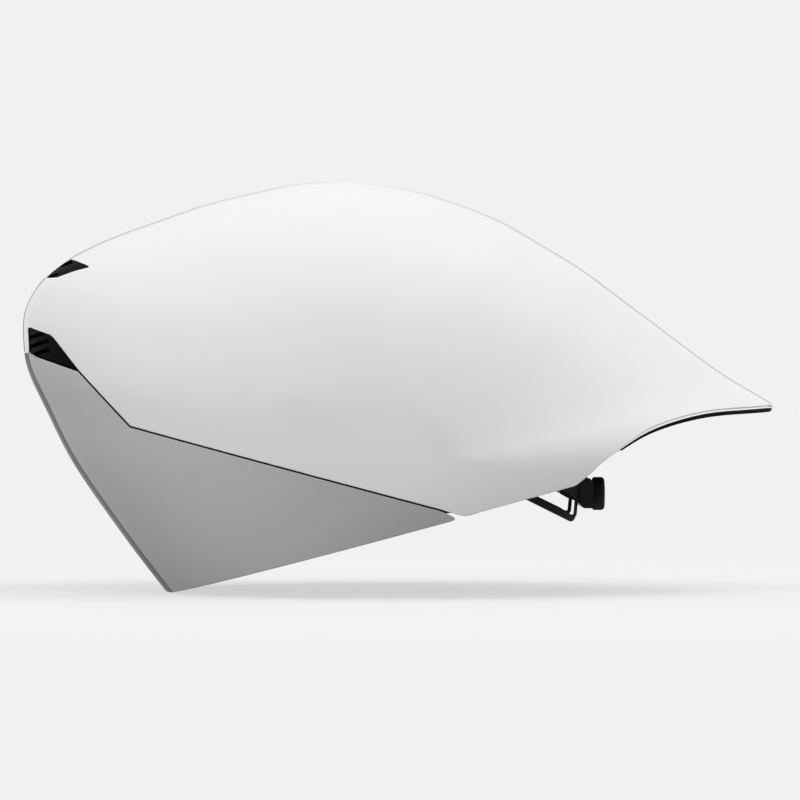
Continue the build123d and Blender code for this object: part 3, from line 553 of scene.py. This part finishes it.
brow_edge = side(brow_edge_shares)
ear_turn = side(ear_turn_shares)
tail_edge = [
    (x, z + share * panel_wall)
    for (x, z), (_, _, share) in zip(side([p[:2] for p in tail_edge_shares]), tail_edge_shares)
]
nose_run = [(-length, brow_edge[0][1]), brow_edge[0]] + side(lower_vent_shares)
shell_low = rounded(nose_run + [brow_edge[-1], ear_turn[0]], corner_round)
shell_low += smooth_run(ear_turn)[1:] + smooth_run(tail_edge) + side(tail_corner_shares)
vent_line = rounded(side(upper_vent_shares), vent_round)
shell = skin_piece("outer_shell_skin", [vent_line, shell_low], rim_rows(shell_bevel, shell_wall, fold=1))
stand_for(shell, "shell_white", "outer_shell")

# The shield's upper edge follows the shell's, a seam below it
shield_top = [(x, z - lens_lip_gap) for x, z in brow_edge[:2]]
shield_top += [(x, z - edge_gap) for x, z in side([lens_lip_share])]
shield_top += [(x - seam_shift[0], z - seam_shift[1]) for x, z in brow_edge[2:]]
shield_top += [(x, z - edge_gap) for x, z in ear_turn[:1]]
shield_line = [(-length, 0.0)] + side(shield_low_shares) + shield_top[::-1]
shield_line = rounded(shield_line + [(-length, shield_top[0][1])], lens_round)
shield = skin_piece("shield_lens_skin", [shield_line], rim_rows(lens_bevel, lens_wall))
stand_for(shield, "shield_lens", "shield_lens")


# Pads: crowned cushions with a sewn edge, on the head space's surface
pad_rows, pad_columns = 30, 64
pad_edge_share = 0.30
pad_crown = 4.0 * mm
pad_waist_share = 0.05
seam_place = 1.3 * mm
seam_breadth = 0.35 * mm
seam_depth_share = 0.16
corner_power = 6


def head_point(nx, ny, nz, inset):
    """Point over a direction of the head space's ellipsoid."""
    x = head_x + (half_head - inset) * nx
    z = head_level + (head_rise - inset) * nz
    return np.stack([x, (half_cheek - inset) * ny, z], axis=-1)


def pad_mesh(place, breadth, rise, wall):
    """Closed cushion over place(u, v, depth), for u and v from -1 to 1: points, faces and places on
    the cloth. Its back lies on the surface and its front is crowned, with a sewn groove by the edge."""
    s = np.sin(np.linspace(-1, 1, pad_columns) * math.pi / 2)
    t = np.sin(np.linspace(-1, 1, pad_rows) * math.pi / 2)
    s, t = np.meshgrid(s, t, indexing="ij")
    turn = np.arctan2(t, s)
    power = np.abs(np.cos(turn)) ** corner_power + np.abs(np.sin(turn)) ** corner_power
    size = np.maximum(np.abs(s), np.abs(t)) / power ** (1 / corner_power)
    u, v = size * np.cos(turn), size * np.sin(turn)
    u, v = u * (1 - pad_waist_share * (1 - v**2) * rise / breadth), v * (1 - pad_waist_share * (1 - u**2))
    edge = np.minimum((1 - np.abs(s)) * breadth, (1 - np.abs(t)) * rise)
    inner = np.minimum(edge / min(pad_crown, rise), 1)
    crown = pad_edge_share + (1 - pad_edge_share) * np.sqrt(1 - (1 - inner) ** 2)
    crown -= seam_depth_share * np.exp(-(((edge - seam_place) / seam_breadth) ** 2))
    front = place(u, v, wall * crown).reshape(-1, 3)
    back = place(u, v, 0 * crown).reshape(-1, 3)
    count = len(front)
    faces = []
    for i in range(pad_columns - 1):
        for j in range(pad_rows - 1):
            a, b = i * pad_rows + j, (i + 1) * pad_rows + j
            faces.append([a, b, b + 1, a + 1])
            faces.append([count + a, count + a + 1, count + b + 1, count + b])
    border = [i * pad_rows for i in range(pad_columns)]
    border += [(pad_columns - 1) * pad_rows + j for j in range(1, pad_rows)]
    border += [i * pad_rows + pad_rows - 1 for i in range(pad_columns - 2, -1, -1)]
    border += [j for j in range(pad_rows - 2, 0, -1)]
    for a, b in zip(border, border[1:] + border[:1]):
        faces.append([a, count + a, count + b, b])
    cloth = np.stack([u.ravel() * breadth, v.ravel() * rise], axis=-1)
    return np.vstack([front, back]), faces, np.vstack([cloth, cloth])


def joined(parts):
    """Several meshes as one."""
    points, faces, uvs = [], [], []
    for part_points, part_faces, part_uvs in parts:
        start = sum(len(p) for p in points)
        points.append(part_points)
        faces += [[i + start for i in f] for f in part_faces]
        uvs.append(part_uvs)
    return np.vstack(points), faces, np.vstack(uvs)


def mirror_mesh(part):
    """The same mesh on the other side of the middle plane."""
    points, faces, uvs = part
    return points * (1, -1, 1), [f[::-1] for f in faces], uvs


def outward_faces(part):
    """The same closed mesh, with its faces turned outward."""
    points, faces, uvs = part
    centre = points.mean(axis=0)
    volume = 0
    for f in faces:
        a = points[f[0]] - centre
        for b, c in zip(f[1:], f[2:]):
            volume += a @ np.cross(points[b] - centre, points[c] - centre)
    return (points, [f[::-1] for f in faces], uvs) if volume < 0 else part


def closed_piece(name, parts):
    """One piece from closed meshes."""
    points, faces, uvs = joined([outward_faces(part) for part in parts])
    return new_piece(name, points, faces, uvs=uvs)


brow_turn = math.radians(44)
brow_levels = (0.192, 0.330)
side_reach_shares = (-0.335, 0.320)
side_levels = (0.182, 0.398)
side_lean_share = 0.10
crown_reach_shares = (-0.520, 0.454)
crown_sides = (6.7 * mm, 25.3 * mm)
nape_run_shares = (0.360, 0.776)
nape_line_shares = [(0.3517, 1.0262), (0.6761, 0.9079), (0.7843, 0.8791)]
nape_half_share = 0.040
# Half the breadth and half the rise of each cushion
brow_halves = (brow_turn * half_head, 7.0 * mm)
side_halves = (34.0 * mm, 11.0 * mm)
crown_halves = (50.0 * mm, 9.3 * mm)
nape_halves = (18.0 * mm, 2.5 * mm)


def between(limits, t):
    """From a place between -1 and 1 to one between two limits."""
    return limits[0] + (limits[1] - limits[0]) * (t + 1) / 2


def brow_place(u, v, depth):
    nz = between(brow_levels, v)
    flat = np.sqrt(1 - nz**2)
    return head_point(-flat * np.cos(u * brow_turn), flat * np.sin(u * brow_turn), nz, pad_inset + depth)


def side_place(u, v, depth):
    nz = between(side_levels, v)
    nx = between(side_reach_shares, u) * (1 - side_lean_share * (v + 1))
    return head_point(nx, np.sqrt(1 - nx**2 - nz**2), nz, pad_inset + depth)


def crown_place(u, v, depth):
    nx = between(crown_reach_shares, u)
    ny = between(crown_sides, v) / half_cheek
    return head_point(nx, ny, np.sqrt(1 - nx**2 - ny**2), pad_inset + depth)


def nape_place(u, v, depth):
    run = between(nape_run_shares, u)
    middle = np.interp(run, *zip(*nape_line_shares))
    inset = nape_inset + depth
    x = cradle_x + (cradle_reach - inset) * run
    y = (cradle_half - inset) * np.sqrt(1 - run**2)
    return np.stack([x, y, (middle + nape_half_share * v) * arm_level], axis=-1)


brow_part = pad_mesh(brow_place, *brow_halves, pad_wall)
side_part = pad_mesh(side_place, *side_halves, pad_wall)
crown_part = pad_mesh(crown_place, *crown_halves, pad_wall)
nape_part = pad_mesh(nape_place, *nape_halves, nape_wall)
pads = []
for name, part, node in (
    ("brow_pad_cushion", [brow_part], "brow_pad"),
    ("side_pad_cushions", [side_part, mirror_mesh(side_part)], "side_pads"),
    ("crown_pad_cushions", [crown_part, mirror_mesh(crown_part)], "crown_pads"),
    ("nape_pad_cushions", [nape_part, mirror_mesh(nape_part)], "nape_pads"),
):
    pad = stand_for(closed_piece(name, part), "pad_fabric", node)
    pads.append(pad)


# Chin strap webbing, folded up inside the head space
strap_columns = 12
strap_rows = 40
strap_edge_power = 6
web_start_share = 0.30


def strap_ratio(depth):
    """Half axes of the surface that the strap follows, a depth inside it."""
    return half_head - strap_inset - depth, half_cheek - strap_inset - depth, head_rise - strap_drop - depth


def ribbon(place, run, breadth):
    """Flat woven band over place(s, w, depth), s from 0 to 1 along it and w from -1 to 1 across."""
    around = 2 * strap_columns
    s = np.linspace(0, 1, strap_rows)
    turn = 2 * math.pi * np.arange(around) / around
    lift = np.sign(np.sin(turn)) * np.sqrt(1 - np.abs(np.cos(turn)) ** strap_edge_power)
    grid_s, grid_w = np.meshgrid(s, np.cos(turn), indexing="ij")
    depth = np.meshgrid(s, strap_wall * (1 + lift) / 2, indexing="ij")[1]
    points = place(grid_s, grid_w, depth).reshape(-1, 3)
    faces = []
    for i in range(strap_rows - 1):
        for j in range(around):
            a, b = i * around + j, i * around + (j + 1) % around
            faces.append([a, b, b + around, a + around])
    faces.append(list(range(around))[::-1])
    faces.append([(strap_rows - 1) * around + j for j in range(around)])
    uvs = np.stack([grid_s.ravel() * run, grid_w.ravel() * breadth / 2], axis=-1)
    return points, faces, uvs


def web_place(s, w, depth):
    """Over the head space, from the divider up to the buckle."""
    start, end = math.asin(web_start_share), math.acos(strap_end / (half_cheek - strap_inset))
    turn = start + s * (end - start)
    ahead, across, up = strap_ratio(depth)
    x = strap_x + w * strap_breadth / 2
    flat = np.sqrt(1 - ((x - head_x) / ahead) ** 2)
    return np.stack([x, across * flat * np.cos(turn), head_level + up * flat * np.sin(turn)], axis=-1)


def leg_place(way):
    """A leg from its foot up to the divider, in front of the ear or behind it."""
    outer_x = (way * (strap_foot_spread + leg_breadth / 2), way * strap_breadth / 2)
    inner_x = (way * (strap_foot_spread - leg_breadth / 2), 0)
    tops = (divider_level, divider_level - leg_breadth)

    def place(s, w, depth):
        share = (1 + w) / 2
        outer = outer_x[0] * (1 - s) + outer_x[1] * s
        inner = inner_x[0] * (1 - s) + inner_x[1] * s
        x = strap_x + outer * share + inner * (1 - share)
        z = strap_level * (1 - s) + (tops[0] * share + tops[1] * (1 - share)) * s
        ahead, across, up = strap_ratio(depth)
        y = across * np.sqrt(1 - ((x - head_x) / ahead) ** 2 - ((z - head_level) / up) ** 2)
        return np.stack([x, y, z], axis=-1)

    return place


strap_parts = [ribbon(web_place, web_run, strap_breadth)]
strap_parts += [ribbon(leg_place(way), leg_run, leg_breadth) for way in (-1, 1)]
straps = [
    stand_for(closed_piece("chin_strap_right_web", strap_parts), "strap_webbing", "chin_strap_right"),
    stand_for(
        closed_piece("chin_strap_left_web", [mirror_mesh(p) for p in strap_parts]),
        "strap_webbing", "chin_strap_left",
    ),
]

# Stitching: raised threads in zigzag blocks at the feet and at the buckle
thread_radius = 0.22 * mm
thread_rings = [(0.0, 0.15), (0.12, 0.75), (0.5, 1.0), (0.88, 0.75), (1.0, 0.15)]
thread_sides = 6
# A direction that no thread runs along
thread_across = (0.3, 1, 0.2)
# Sewn blocks: from where to where along a leg and along the web, the rows across, and their slant
foot_tack = (0.03, 0.16)
buckle_tack = (0.86, 0.95)
tack_rows = (-0.75, -0.5, -0.25, 0.0, 0.25, 0.5)
tack_slant = 0.2


def thread(place, start, end):
    """One raised stitch between two places on a band."""
    over = np.array(strap_wall + thread_radius / 2)
    a = place(np.array(start[0]), np.array(start[1]), over)
    b = place(np.array(end[0]), np.array(end[1]), over)
    axis = b - a
    across = np.cross(axis, thread_across)
    across /= np.linalg.norm(across)
    up = np.cross(axis, across)
    up /= np.linalg.norm(up)
    points = []
    for t, swell in thread_rings:
        for k in range(thread_sides):
            turn = 2 * math.pi * k / thread_sides
            spoke = across * math.cos(turn) + up * math.sin(turn)
            points.append(a + axis * t + spoke * thread_radius * swell)
    last = thread_sides * (len(thread_rings) - 1)
    faces = [list(range(thread_sides))[::-1], [last + k for k in range(thread_sides)]]
    for i in range(0, last, thread_sides):
        for k in range(thread_sides):
            n = (k + 1) % thread_sides
            faces.append([i + k, i + n, i + thread_sides + n, i + thread_sides + k])
    return np.array(points), faces, np.zeros((len(points), 2))


def tack(place, low, high, lines=5):
    """Sewn block across a band, between two places along it."""
    step = (high - low) / lines
    found = []
    for k in range(lines):
        for w in tack_rows:
            found.append(thread(place, (low + step * k, w), (low + step * (k + 1), w + tack_slant)))
    return found


threads = tack(leg_place(-1), *foot_tack) + tack(leg_place(1), *foot_tack)
threads += tack(web_place, *buckle_tack)
strap_threads = closed_piece("strap_threads", threads + [mirror_mesh(part) for part in threads])
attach(strap_threads, "root")


# Dial: a turned body with fine ribs
def dial_mesh():
    """Knob turned about X, from its bore round the rim to the screw's dish."""
    arc = [
        (dial_round * (1 - math.cos(a)), dial_radius - dial_round * (1 - math.sin(a)))
        for a in np.linspace(0, math.pi / 2, dial_round_points)
    ]
    face_ring = dial_radius - dial_round
    low_face = dial_height - dial_face_step
    dish_floor = dial_height - dial_dish[1]
    face = [
        (dial_height, face_ring - dial_face_step), (low_face, face_ring - 2 * dial_face_step),
        (low_face, dial_dish[0] + 2 * dial_face_step), (dial_height, dial_dish[0] + dial_face_step),
        (dial_height, dial_dish[0]), (dish_floor, dial_dish[0]), (dish_floor, dial_hole),
        (dial_bore[1], dial_hole), (dial_bore[1], dial_bore[0]),
    ]
    profile = [(0, dial_bore[0], 0)] + [(x * dial_foot_share, r, 1) for x, r in arc]
    profile += [(dial_height - x, r, 1) for x, r in arc[::-1]] + [(x, r, 0) for x, r in face]
    steps = dial_rib_points * dial_ribs
    turn = 2 * math.pi * np.arange(steps) / steps
    points = []
    for x, radius, ribbed in profile:
        size = radius - ribbed * dial_rib_depth * (0.5 - 0.5 * np.cos(dial_ribs * turn))
        ring = [np.full(steps, dial_x + x), size * np.cos(turn), dial_level + size * np.sin(turn)]
        points.append(np.stack(ring, axis=-1))
    faces = []
    for i in range(len(profile)):
        j = (i + 1) % len(profile)
        for k in range(steps):
            n = (k + 1) % steps
            faces.append([i * steps + k, i * steps + n, j * steps + n, j * steps + k])
    points = np.vstack(points)
    return points, faces, np.zeros((len(points), 2))


knob = stand_for(closed_piece("dial_knob_ribbed", [dial_mesh()]), "dial_rubber", "dial_knob")
sharp_edges = knob.modifiers.new("sharp_edges", "EDGE_SPLIT")
sharp_edges.split_angle = sharp_turn


# Materials
tint_span = (0.25, 0.75)
# The wave texture turns by this many radians for each unit of its scale
wave_radians = 20
# The shield's tone, by how nearly edge on it is seen: painted shade, darkening it to near black along its
# outline
lens_edge_shade_stops = [(0.0, 0.515), (0.77, 0.505), (0.80, 0.07), (0.95, 0.04)]
# From where to where along the shield its painted light falls off, paler at the front and darker towards
# the rear, and the share of its tone at each end
lens_fade = (-100 * mm, 10 * mm)
lens_painted_light_shares = (1.18, 0.95)
# Beads of the foam: how many to a metre, and how far from its edge a bead rises and how steeply
bead_scale = 330
bead_edge = 0.12
bead_slope = 8.0


def add(tree, kind, **values):
    """New shader node with its properties set."""
    node = tree.nodes.new(kind)
    for key, value in values.items():
        setattr(node, key, value)
    return node


def wire(tree, start, end):
    tree.links.new(start, end)


def new_material(name, colour, roughness, **more):
    """Principled material; the values that are the same all over are set on its own sockets."""
    made = bpy.data.materials.new(name)
    made.use_nodes = True
    shader = made.node_tree.nodes["Principled BSDF"]
    shader.inputs["Base Color"].default_value = (*colour, 1)
    shader.inputs["Roughness"].default_value = roughness
    for key, value in more.items():
        shader.inputs[key.replace("_", " ")].default_value = value
    return made


def places(tree, stretch=(1, 1, 1), kind="Object"):
    """Places on the piece in metres, stretched."""
    source = add(tree, "ShaderNodeTexCoord")
    mapping = add(tree, "ShaderNodeMapping")
    mapping.inputs["Scale"].default_value = stretch
    wire(tree, source.outputs[kind], mapping.inputs["Vector"])
    return mapping.outputs["Vector"]


def noise(tree, scale, detail=2.0, stretch=(1, 1, 1)):
    """Cloudy pattern; the scale is how many clouds there are to a metre."""
    node = add(tree, "ShaderNodeTexNoise")
    node.inputs["Scale"].default_value = scale
    node.inputs["Detail"].default_value = detail
    wire(tree, places(tree, stretch), node.inputs["Vector"])
    return node.outputs["Fac"]


def ribs(tree, period, direction, distortion=0.0):
    """Even ribs along the cloth, a period apart."""
    node = add(tree, "ShaderNodeTexWave", bands_direction=direction)
    node.inputs["Scale"].default_value = 2 * math.pi / (wave_radians * period)
    node.inputs["Distortion"].default_value = distortion
    wire(tree, places(tree, kind="UV"), node.inputs["Vector"])
    return node.outputs["Fac"]


def worked(tree, operation, first, second=0.0):
    """Sum done on patterns or plain numbers."""
    node = add(tree, "ShaderNodeMath", operation=operation)
    for socket, value in zip(node.inputs, (first, second)):
        if isinstance(value, (int, float)):
            socket.default_value = value
        else:
            wire(tree, value, socket)
    return node.outputs[0]


def spread(tree, value, low, high, start=0.0, end=1.0, kind="LINEAR"):
    """From low to high, as a pattern's value goes from a start to an end."""
    node = add(tree, "ShaderNodeMapRange", interpolation_type=kind)
    for name, limit in (("From Min", start), ("From Max", end), ("To Min", low), ("To Max", high)):
        node.inputs[name].default_value = limit
    wire(tree, value, node.inputs["Value"])
    return node.outputs["Result"]


def grey(value):
    return (value, value, value)


def ramp(tree, value, stops):
    """A pattern's value as a grey, between stops of place and grey."""
    node = add(tree, "ShaderNodeValToRGB")
    elements = node.color_ramp.elements
    while len(elements) < len(stops):
        elements.new(0.5)
    for element, (spot, tone) in zip(elements, stops):
        element.position = spot
        element.color = (*grey(tone), 1)
    wire(tree, value, node.inputs["Fac"])
    return node.outputs["Color"]


def tint(tree, value, dark, light):
    """A pattern's value as a grey between a dark and a light one."""
    return ramp(tree, value, list(zip(tint_span, (dark, light))))


def finish_with(made, colour, bump, depth, strength, roughness=None):
    """Patterns for a material's colour and roughness, and for bumps of a depth."""
    tree = made.node_tree
    shader = tree.nodes["Principled BSDF"]
    wire(tree, colour, shader.inputs["Base Color"])
    if roughness is not None:
        wire(tree, roughness, shader.inputs["Roughness"])
    node = add(tree, "ShaderNodeBump")
    node.inputs["Distance"].default_value = depth
    node.inputs["Strength"].default_value = strength
    wire(tree, bump, node.inputs["Height"])
    wire(tree, node.outputs["Normal"], shader.inputs["Normal"])
    return made


def shell_paint():
    """Gloss white skin with a faint orange peel."""
    made = new_material("shell_white", grey(0.88), 0.34, Coat_Weight=1.0, Coat_Roughness=0.06)
    tree = made.node_tree
    return finish_with(
        made, roughness=spread(tree, noise(tree, scale=45, detail=4), low=0.30, high=0.40),
        colour=tint(tree, noise(tree, scale=12), dark=0.872, light=0.888),
        bump=noise(tree, scale=420, detail=1), depth=0.05 * mm, strength=0.06,
    )


def lens_coat():
    """Grey opaque shield. Painted shade darkens it where it is seen edge on, and painted light makes it
    paler towards the front.
    """
    made = new_material("shield_grey", grey(0.5), 0.22, Specular_IOR_Level=0.02)
    tree = made.node_tree
    edge_on = add(tree, "ShaderNodeLayerWeight")
    edge_on.inputs["Blend"].default_value = 0.5
    split = add(tree, "ShaderNodeSeparateXYZ")
    wire(tree, places(tree), split.inputs[0])
    # Painted light: the shield's tone is raised at the front and lowered towards the rear
    painted_light_share = spread(tree, split.outputs["X"], *lens_painted_light_shares, *lens_fade, "SMOOTHSTEP")
    # Painted shade: the shield's tone falls to near black where it is seen edge on
    tone = ramp(tree, edge_on.outputs["Facing"], lens_edge_shade_stops)
    return finish_with(
        made, colour=worked(tree, "MULTIPLY", tone, painted_light_share),
        roughness=spread(tree, noise(tree, scale=70, detail=3), low=0.18, high=0.27),
        bump=noise(tree, scale=300, detail=1), depth=0.03 * mm, strength=0.04,
    )


def plastic(name, value, low, high, grain, specular):
    """Moulded black plastic or rubber with a fine spark grain."""
    made = new_material(name, grey(value), low, Specular_IOR_Level=specular)
    tree = made.node_tree
    return finish_with(
        made, roughness=spread(tree, noise(tree, scale=90, detail=3), low, high),
        colour=tint(tree, noise(tree, scale=30, detail=3), dark=value * 0.8, light=value * 1.25),
        bump=noise(tree, grain, detail=3), depth=0.04 * mm, strength=0.35,
    )


def bead_foam():
    """Expanded foam: skinned beads some 3 mm across, with dark dimples between them."""
    made = new_material("liner_foam", grey(0.016), 0.85, Specular_IOR_Level=0.3)
    tree = made.node_tree
    edges = add(tree, "ShaderNodeTexVoronoi", feature="DISTANCE_TO_EDGE")
    tones = add(tree, "ShaderNodeTexVoronoi")
    split = add(tree, "ShaderNodeSeparateColor")
    for cells in (edges, tones):
        cells.inputs["Scale"].default_value = bead_scale
        wire(tree, places(tree), cells.inputs["Vector"])
    wire(tree, tones.outputs["Color"], split.inputs["Color"])
    rise = worked(tree, "MINIMUM", edges.outputs["Distance"], bead_edge)
    return finish_with(
        made, colour=tint(tree, split.outputs["Red"], dark=0.011, light=0.024),
        roughness=spread(tree, split.outputs["Green"], low=0.72, high=0.95),
        bump=worked(tree, "MULTIPLY", rise, bead_slope), depth=0.25 * mm, strength=0.7,
    )


def knit():
    """Brushed knit over the pads."""
    made = new_material("pad_fabric", grey(0.02), 0.9, Sheen_Weight=0.35, Sheen_Roughness=0.5)
    tree = made.node_tree
    loops = worked(tree, "MULTIPLY", ribs(tree, 0.9 * mm, "X"), ribs(tree, 1.1 * mm, "Y", 0.6))
    nap = worked(tree, "MULTIPLY", noise(tree, scale=1500, detail=3), 0.5)
    return finish_with(
        made, colour=tint(tree, loops, dark=0.012, light=0.034),
        bump=worked(tree, "ADD", loops, nap), depth=0.18 * mm, strength=0.8,
    )


def webbing():
    """Woven band: ribs along it, crossed by the weft."""
    made = new_material("strap_webbing", grey(0.016), 0.7, Sheen_Weight=0.2, Sheen_Roughness=0.4)
    tree = made.node_tree
    weave = worked(tree, "MAXIMUM", ribs(tree, 1.5 * mm, "Y"), ribs(tree, 0.8 * mm, "DIAGONAL"))
    return finish_with(
        made, colour=tint(tree, weave, dark=0.008, light=0.028),
        roughness=spread(tree, weave, low=0.8, high=0.6), bump=weave, depth=0.15 * mm, strength=0.8,
    )


def metal(name, value, low, high, stretch):
    """Plated or blackened steel with fine marks along one way."""
    made = new_material(name, grey(value), low, Metallic=1.0)
    tree = made.node_tree
    return finish_with(
        made, roughness=spread(tree, noise(tree, 1200, detail=3, stretch=stretch), low, high),
        colour=tint(tree, noise(tree, scale=200), dark=value * 0.85, light=value * 1.1),
        bump=noise(tree, 1500, stretch=stretch), depth=0.02 * mm, strength=0.3,
    )


# Moulded plastics and rubbers: tone, least and most roughness, how fine the grain is, specular level
plastics = {
    "black_shell": (0.0040, 0.50, 0.62, 900, 0.02),
    "band_plastic": (0.006, 0.40, 0.52, 1800, 0.10),
    "housing_plastic": (0.006, 0.34, 0.46, 1500, 0.16),
    "dial_rubber": (0.007, 0.55, 0.70, 2200, 0.25),
    "buckle_plastic": (0.009, 0.28, 0.38, 1600, 0.4),
    "keeper_rubber": (0.011, 0.60, 0.75, 1300, 0.25),
}
# Metals: tone, least and most roughness, and how the marks are stretched
metals = {
    "magnet_metal": (0.55, 0.25, 0.40, (1, 1, 1)),
    "screw_steel": (0.20, 0.30, 0.42, (1, 12, 12)),
}
finishes = {
    "shell_white": shell_paint(), "shield_lens": lens_coat(), "liner_foam": bead_foam(),
    "pad_fabric": knit(), "strap_webbing": webbing(),
}
finishes.update({name: plastic(name, *values) for name, values in plastics.items()})
finishes.update({name: metal(name, *values) for name, values in metals.items()})
for part in frame["record"]["subparts"]:
    node = nodes[part["node"]]
    node.data.materials.clear()
    node.data.materials.append(finishes[part["material_slot"]])
for slot, pieces in (
    ("shell_white", [shell]), ("shield_lens", [shield]), ("dial_rubber", [knob]),
    ("pad_fabric", pads), ("strap_webbing", straps + [strap_threads]),
):
    for piece in pieces:
        piece.data.materials.append(finishes[slot])

# Softened edges on the moulded pieces, where faces meet at more than an angle
soft_turn = math.radians(35)
soft_segments = 3
edge_rounds = {
    "dial_housing_front": 0.5 * mm, "dial_housing_back": 0.5 * mm, "buckle_socket": 0.6 * mm,
    "buckle_prong": 0.4 * mm, "strap_dividers": 0.4 * mm, "strap_keeper": 0.3 * mm,
    "cradle_side_left": 0.4 * mm, "cradle_side_right": 0.4 * mm,
    "headband_arm_left": 0.4 * mm, "headband_arm_right": 0.4 * mm, "band_anchors": 0.4 * mm,
}
for name, radius in edge_rounds.items():
    soften = nodes[name].modifiers.new("soft_edges", "BEVEL")
    soften.width = radius
    soften.segments = soft_segments
    soften.limit_method = "ANGLE"
    soften.angle_limit = soft_turn
    soften.use_clamp_overlap = True
    soften.harden_normals = True


# Floor, lights and camera
def one_tone(tree, kind, tone):
    """Plain grey shader."""
    node = add(tree, kind)
    node.inputs["Color"].default_value = (*grey(tone), 1)
    return node.outputs[0]


def seen_rays(tree):
    """1 for camera, mirror and glass rays."""
    path = add(tree, "ShaderNodeLightPath")
    both = worked(tree, "MAXIMUM", path.outputs["Is Camera Ray"], path.outputs["Is Glossy Ray"])
    return worked(tree, "MAXIMUM", both, path.outputs["Is Transmission Ray"])


def mixed(tree, share, first, second):
    """Two shaders mixed, with a share of the second."""
    node = add(tree, "ShaderNodeMixShader")
    for socket, value in zip(node.inputs, (share, first, second)):
        wire(tree, value, socket)
    return node.outputs[0]


def floor():
    """Plain floor. It keeps part of the shadow near the helmet and fades to the backdrop's tone."""
    mesh = bpy.data.meshes.new("floor")
    corners = [(x * floor_half, y * floor_half, 0) for x, y in ((-1, -1), (1, -1), (1, 1), (-1, 1))]
    mesh.from_pydata(corners, [], [(0, 1, 2, 3)])
    made = link("floor", mesh)
    paint = bpy.data.materials.new("floor_paint")
    paint.use_nodes = True
    tree = paint.node_tree
    tree.nodes.remove(tree.nodes["Principled BSDF"])
    bounce = one_tone(tree, "ShaderNodeBsdfDiffuse", floor_bounce)
    lit = one_tone(tree, "ShaderNodeBsdfDiffuse", floor_paint)
    plain = one_tone(tree, "ShaderNodeEmission", backdrop)
    away = add(tree, "ShaderNodeVectorMath", operation="LENGTH")
    wire(tree, places(tree), away.inputs[0])
    far = spread(tree, away.outputs["Value"], 1 - shadow_share, 1.0, *shadow_fade, "SMOOTHSTEP")
    shown = mixed(tree, far, lit, plain)
    out = tree.nodes["Material Output"]
    wire(tree, mixed(tree, seen_rays(tree), bounce, shown), out.inputs["Surface"])
    made.data.materials.append(paint)


def studio():
    """Even sky. Mirrors see the pale backdrop, with the dark of the studio on both sides of it."""
    world = bpy.data.worlds.new("studio")
    bpy.context.scene.world = world
    world.use_nodes = True
    tree = world.node_tree
    lit = tree.nodes["Background"]
    lit.inputs["Color"].default_value = (1, 1, 1, 1)
    lit.inputs["Strength"].default_value = sky_level
    shown = one_tone(tree, "ShaderNodeBackground", backdrop)
    dark = one_tone(tree, "ShaderNodeBackground", studio_dark)
    source = add(tree, "ShaderNodeTexCoord")
    split = add(tree, "ShaderNodeSeparateXYZ")
    wire(tree, source.outputs["Generated"], split.inputs[0])
    along = worked(tree, "ABSOLUTE", split.outputs["Y"])
    ring = ramp(tree, along, studio_ring)
    path = add(tree, "ShaderNodeLightPath")
    across = worked(tree, "ABSOLUTE", split.outputs["X"])
    ends = worked(tree, "MINIMUM", worked(tree, "MULTIPLY", across, studio_rise), 1.0)
    edge = worked(tree, "MULTIPLY", worked(tree, "MULTIPLY", ring, ends), path.outputs["Is Glossy Ray"])
    seen = mixed(tree, edge, shown, dark)
    out = tree.nodes["World Output"]
    wire(tree, mixed(tree, seen_rays(tree), lit.outputs[0], seen), out.inputs["Surface"])


def lamp(name, place, size, power):
    """Soft lamp turned to the helmet. Mirrors don't show it."""
    data = bpy.data.lights.new(name, "AREA")
    data.size = size
    data.energy = power
    made = link(name, data)
    made.visible_glossy = False
    made.location = place
    made.rotation_euler = (Vector(lamp_aim) - Vector(place)).to_track_quat("-Z", "Y").to_euler()


floor()
studio()
for name, (place, size, power) in lamps.items():
    lamp(name, place, size, power)

camera = link("camera", bpy.data.cameras.new("camera"))
camera.data.lens = sensor * camera_distance / (frame_pixels * pixel)
camera.data.sensor_width = sensor
camera.location = (view_centre[0], -camera_distance, view_centre[1])
camera.rotation_euler = (math.pi / 2, 0, 0)
bpy.context.scene.camera = camera
bpy.context.scene.view_settings.view_transform = "Standard"
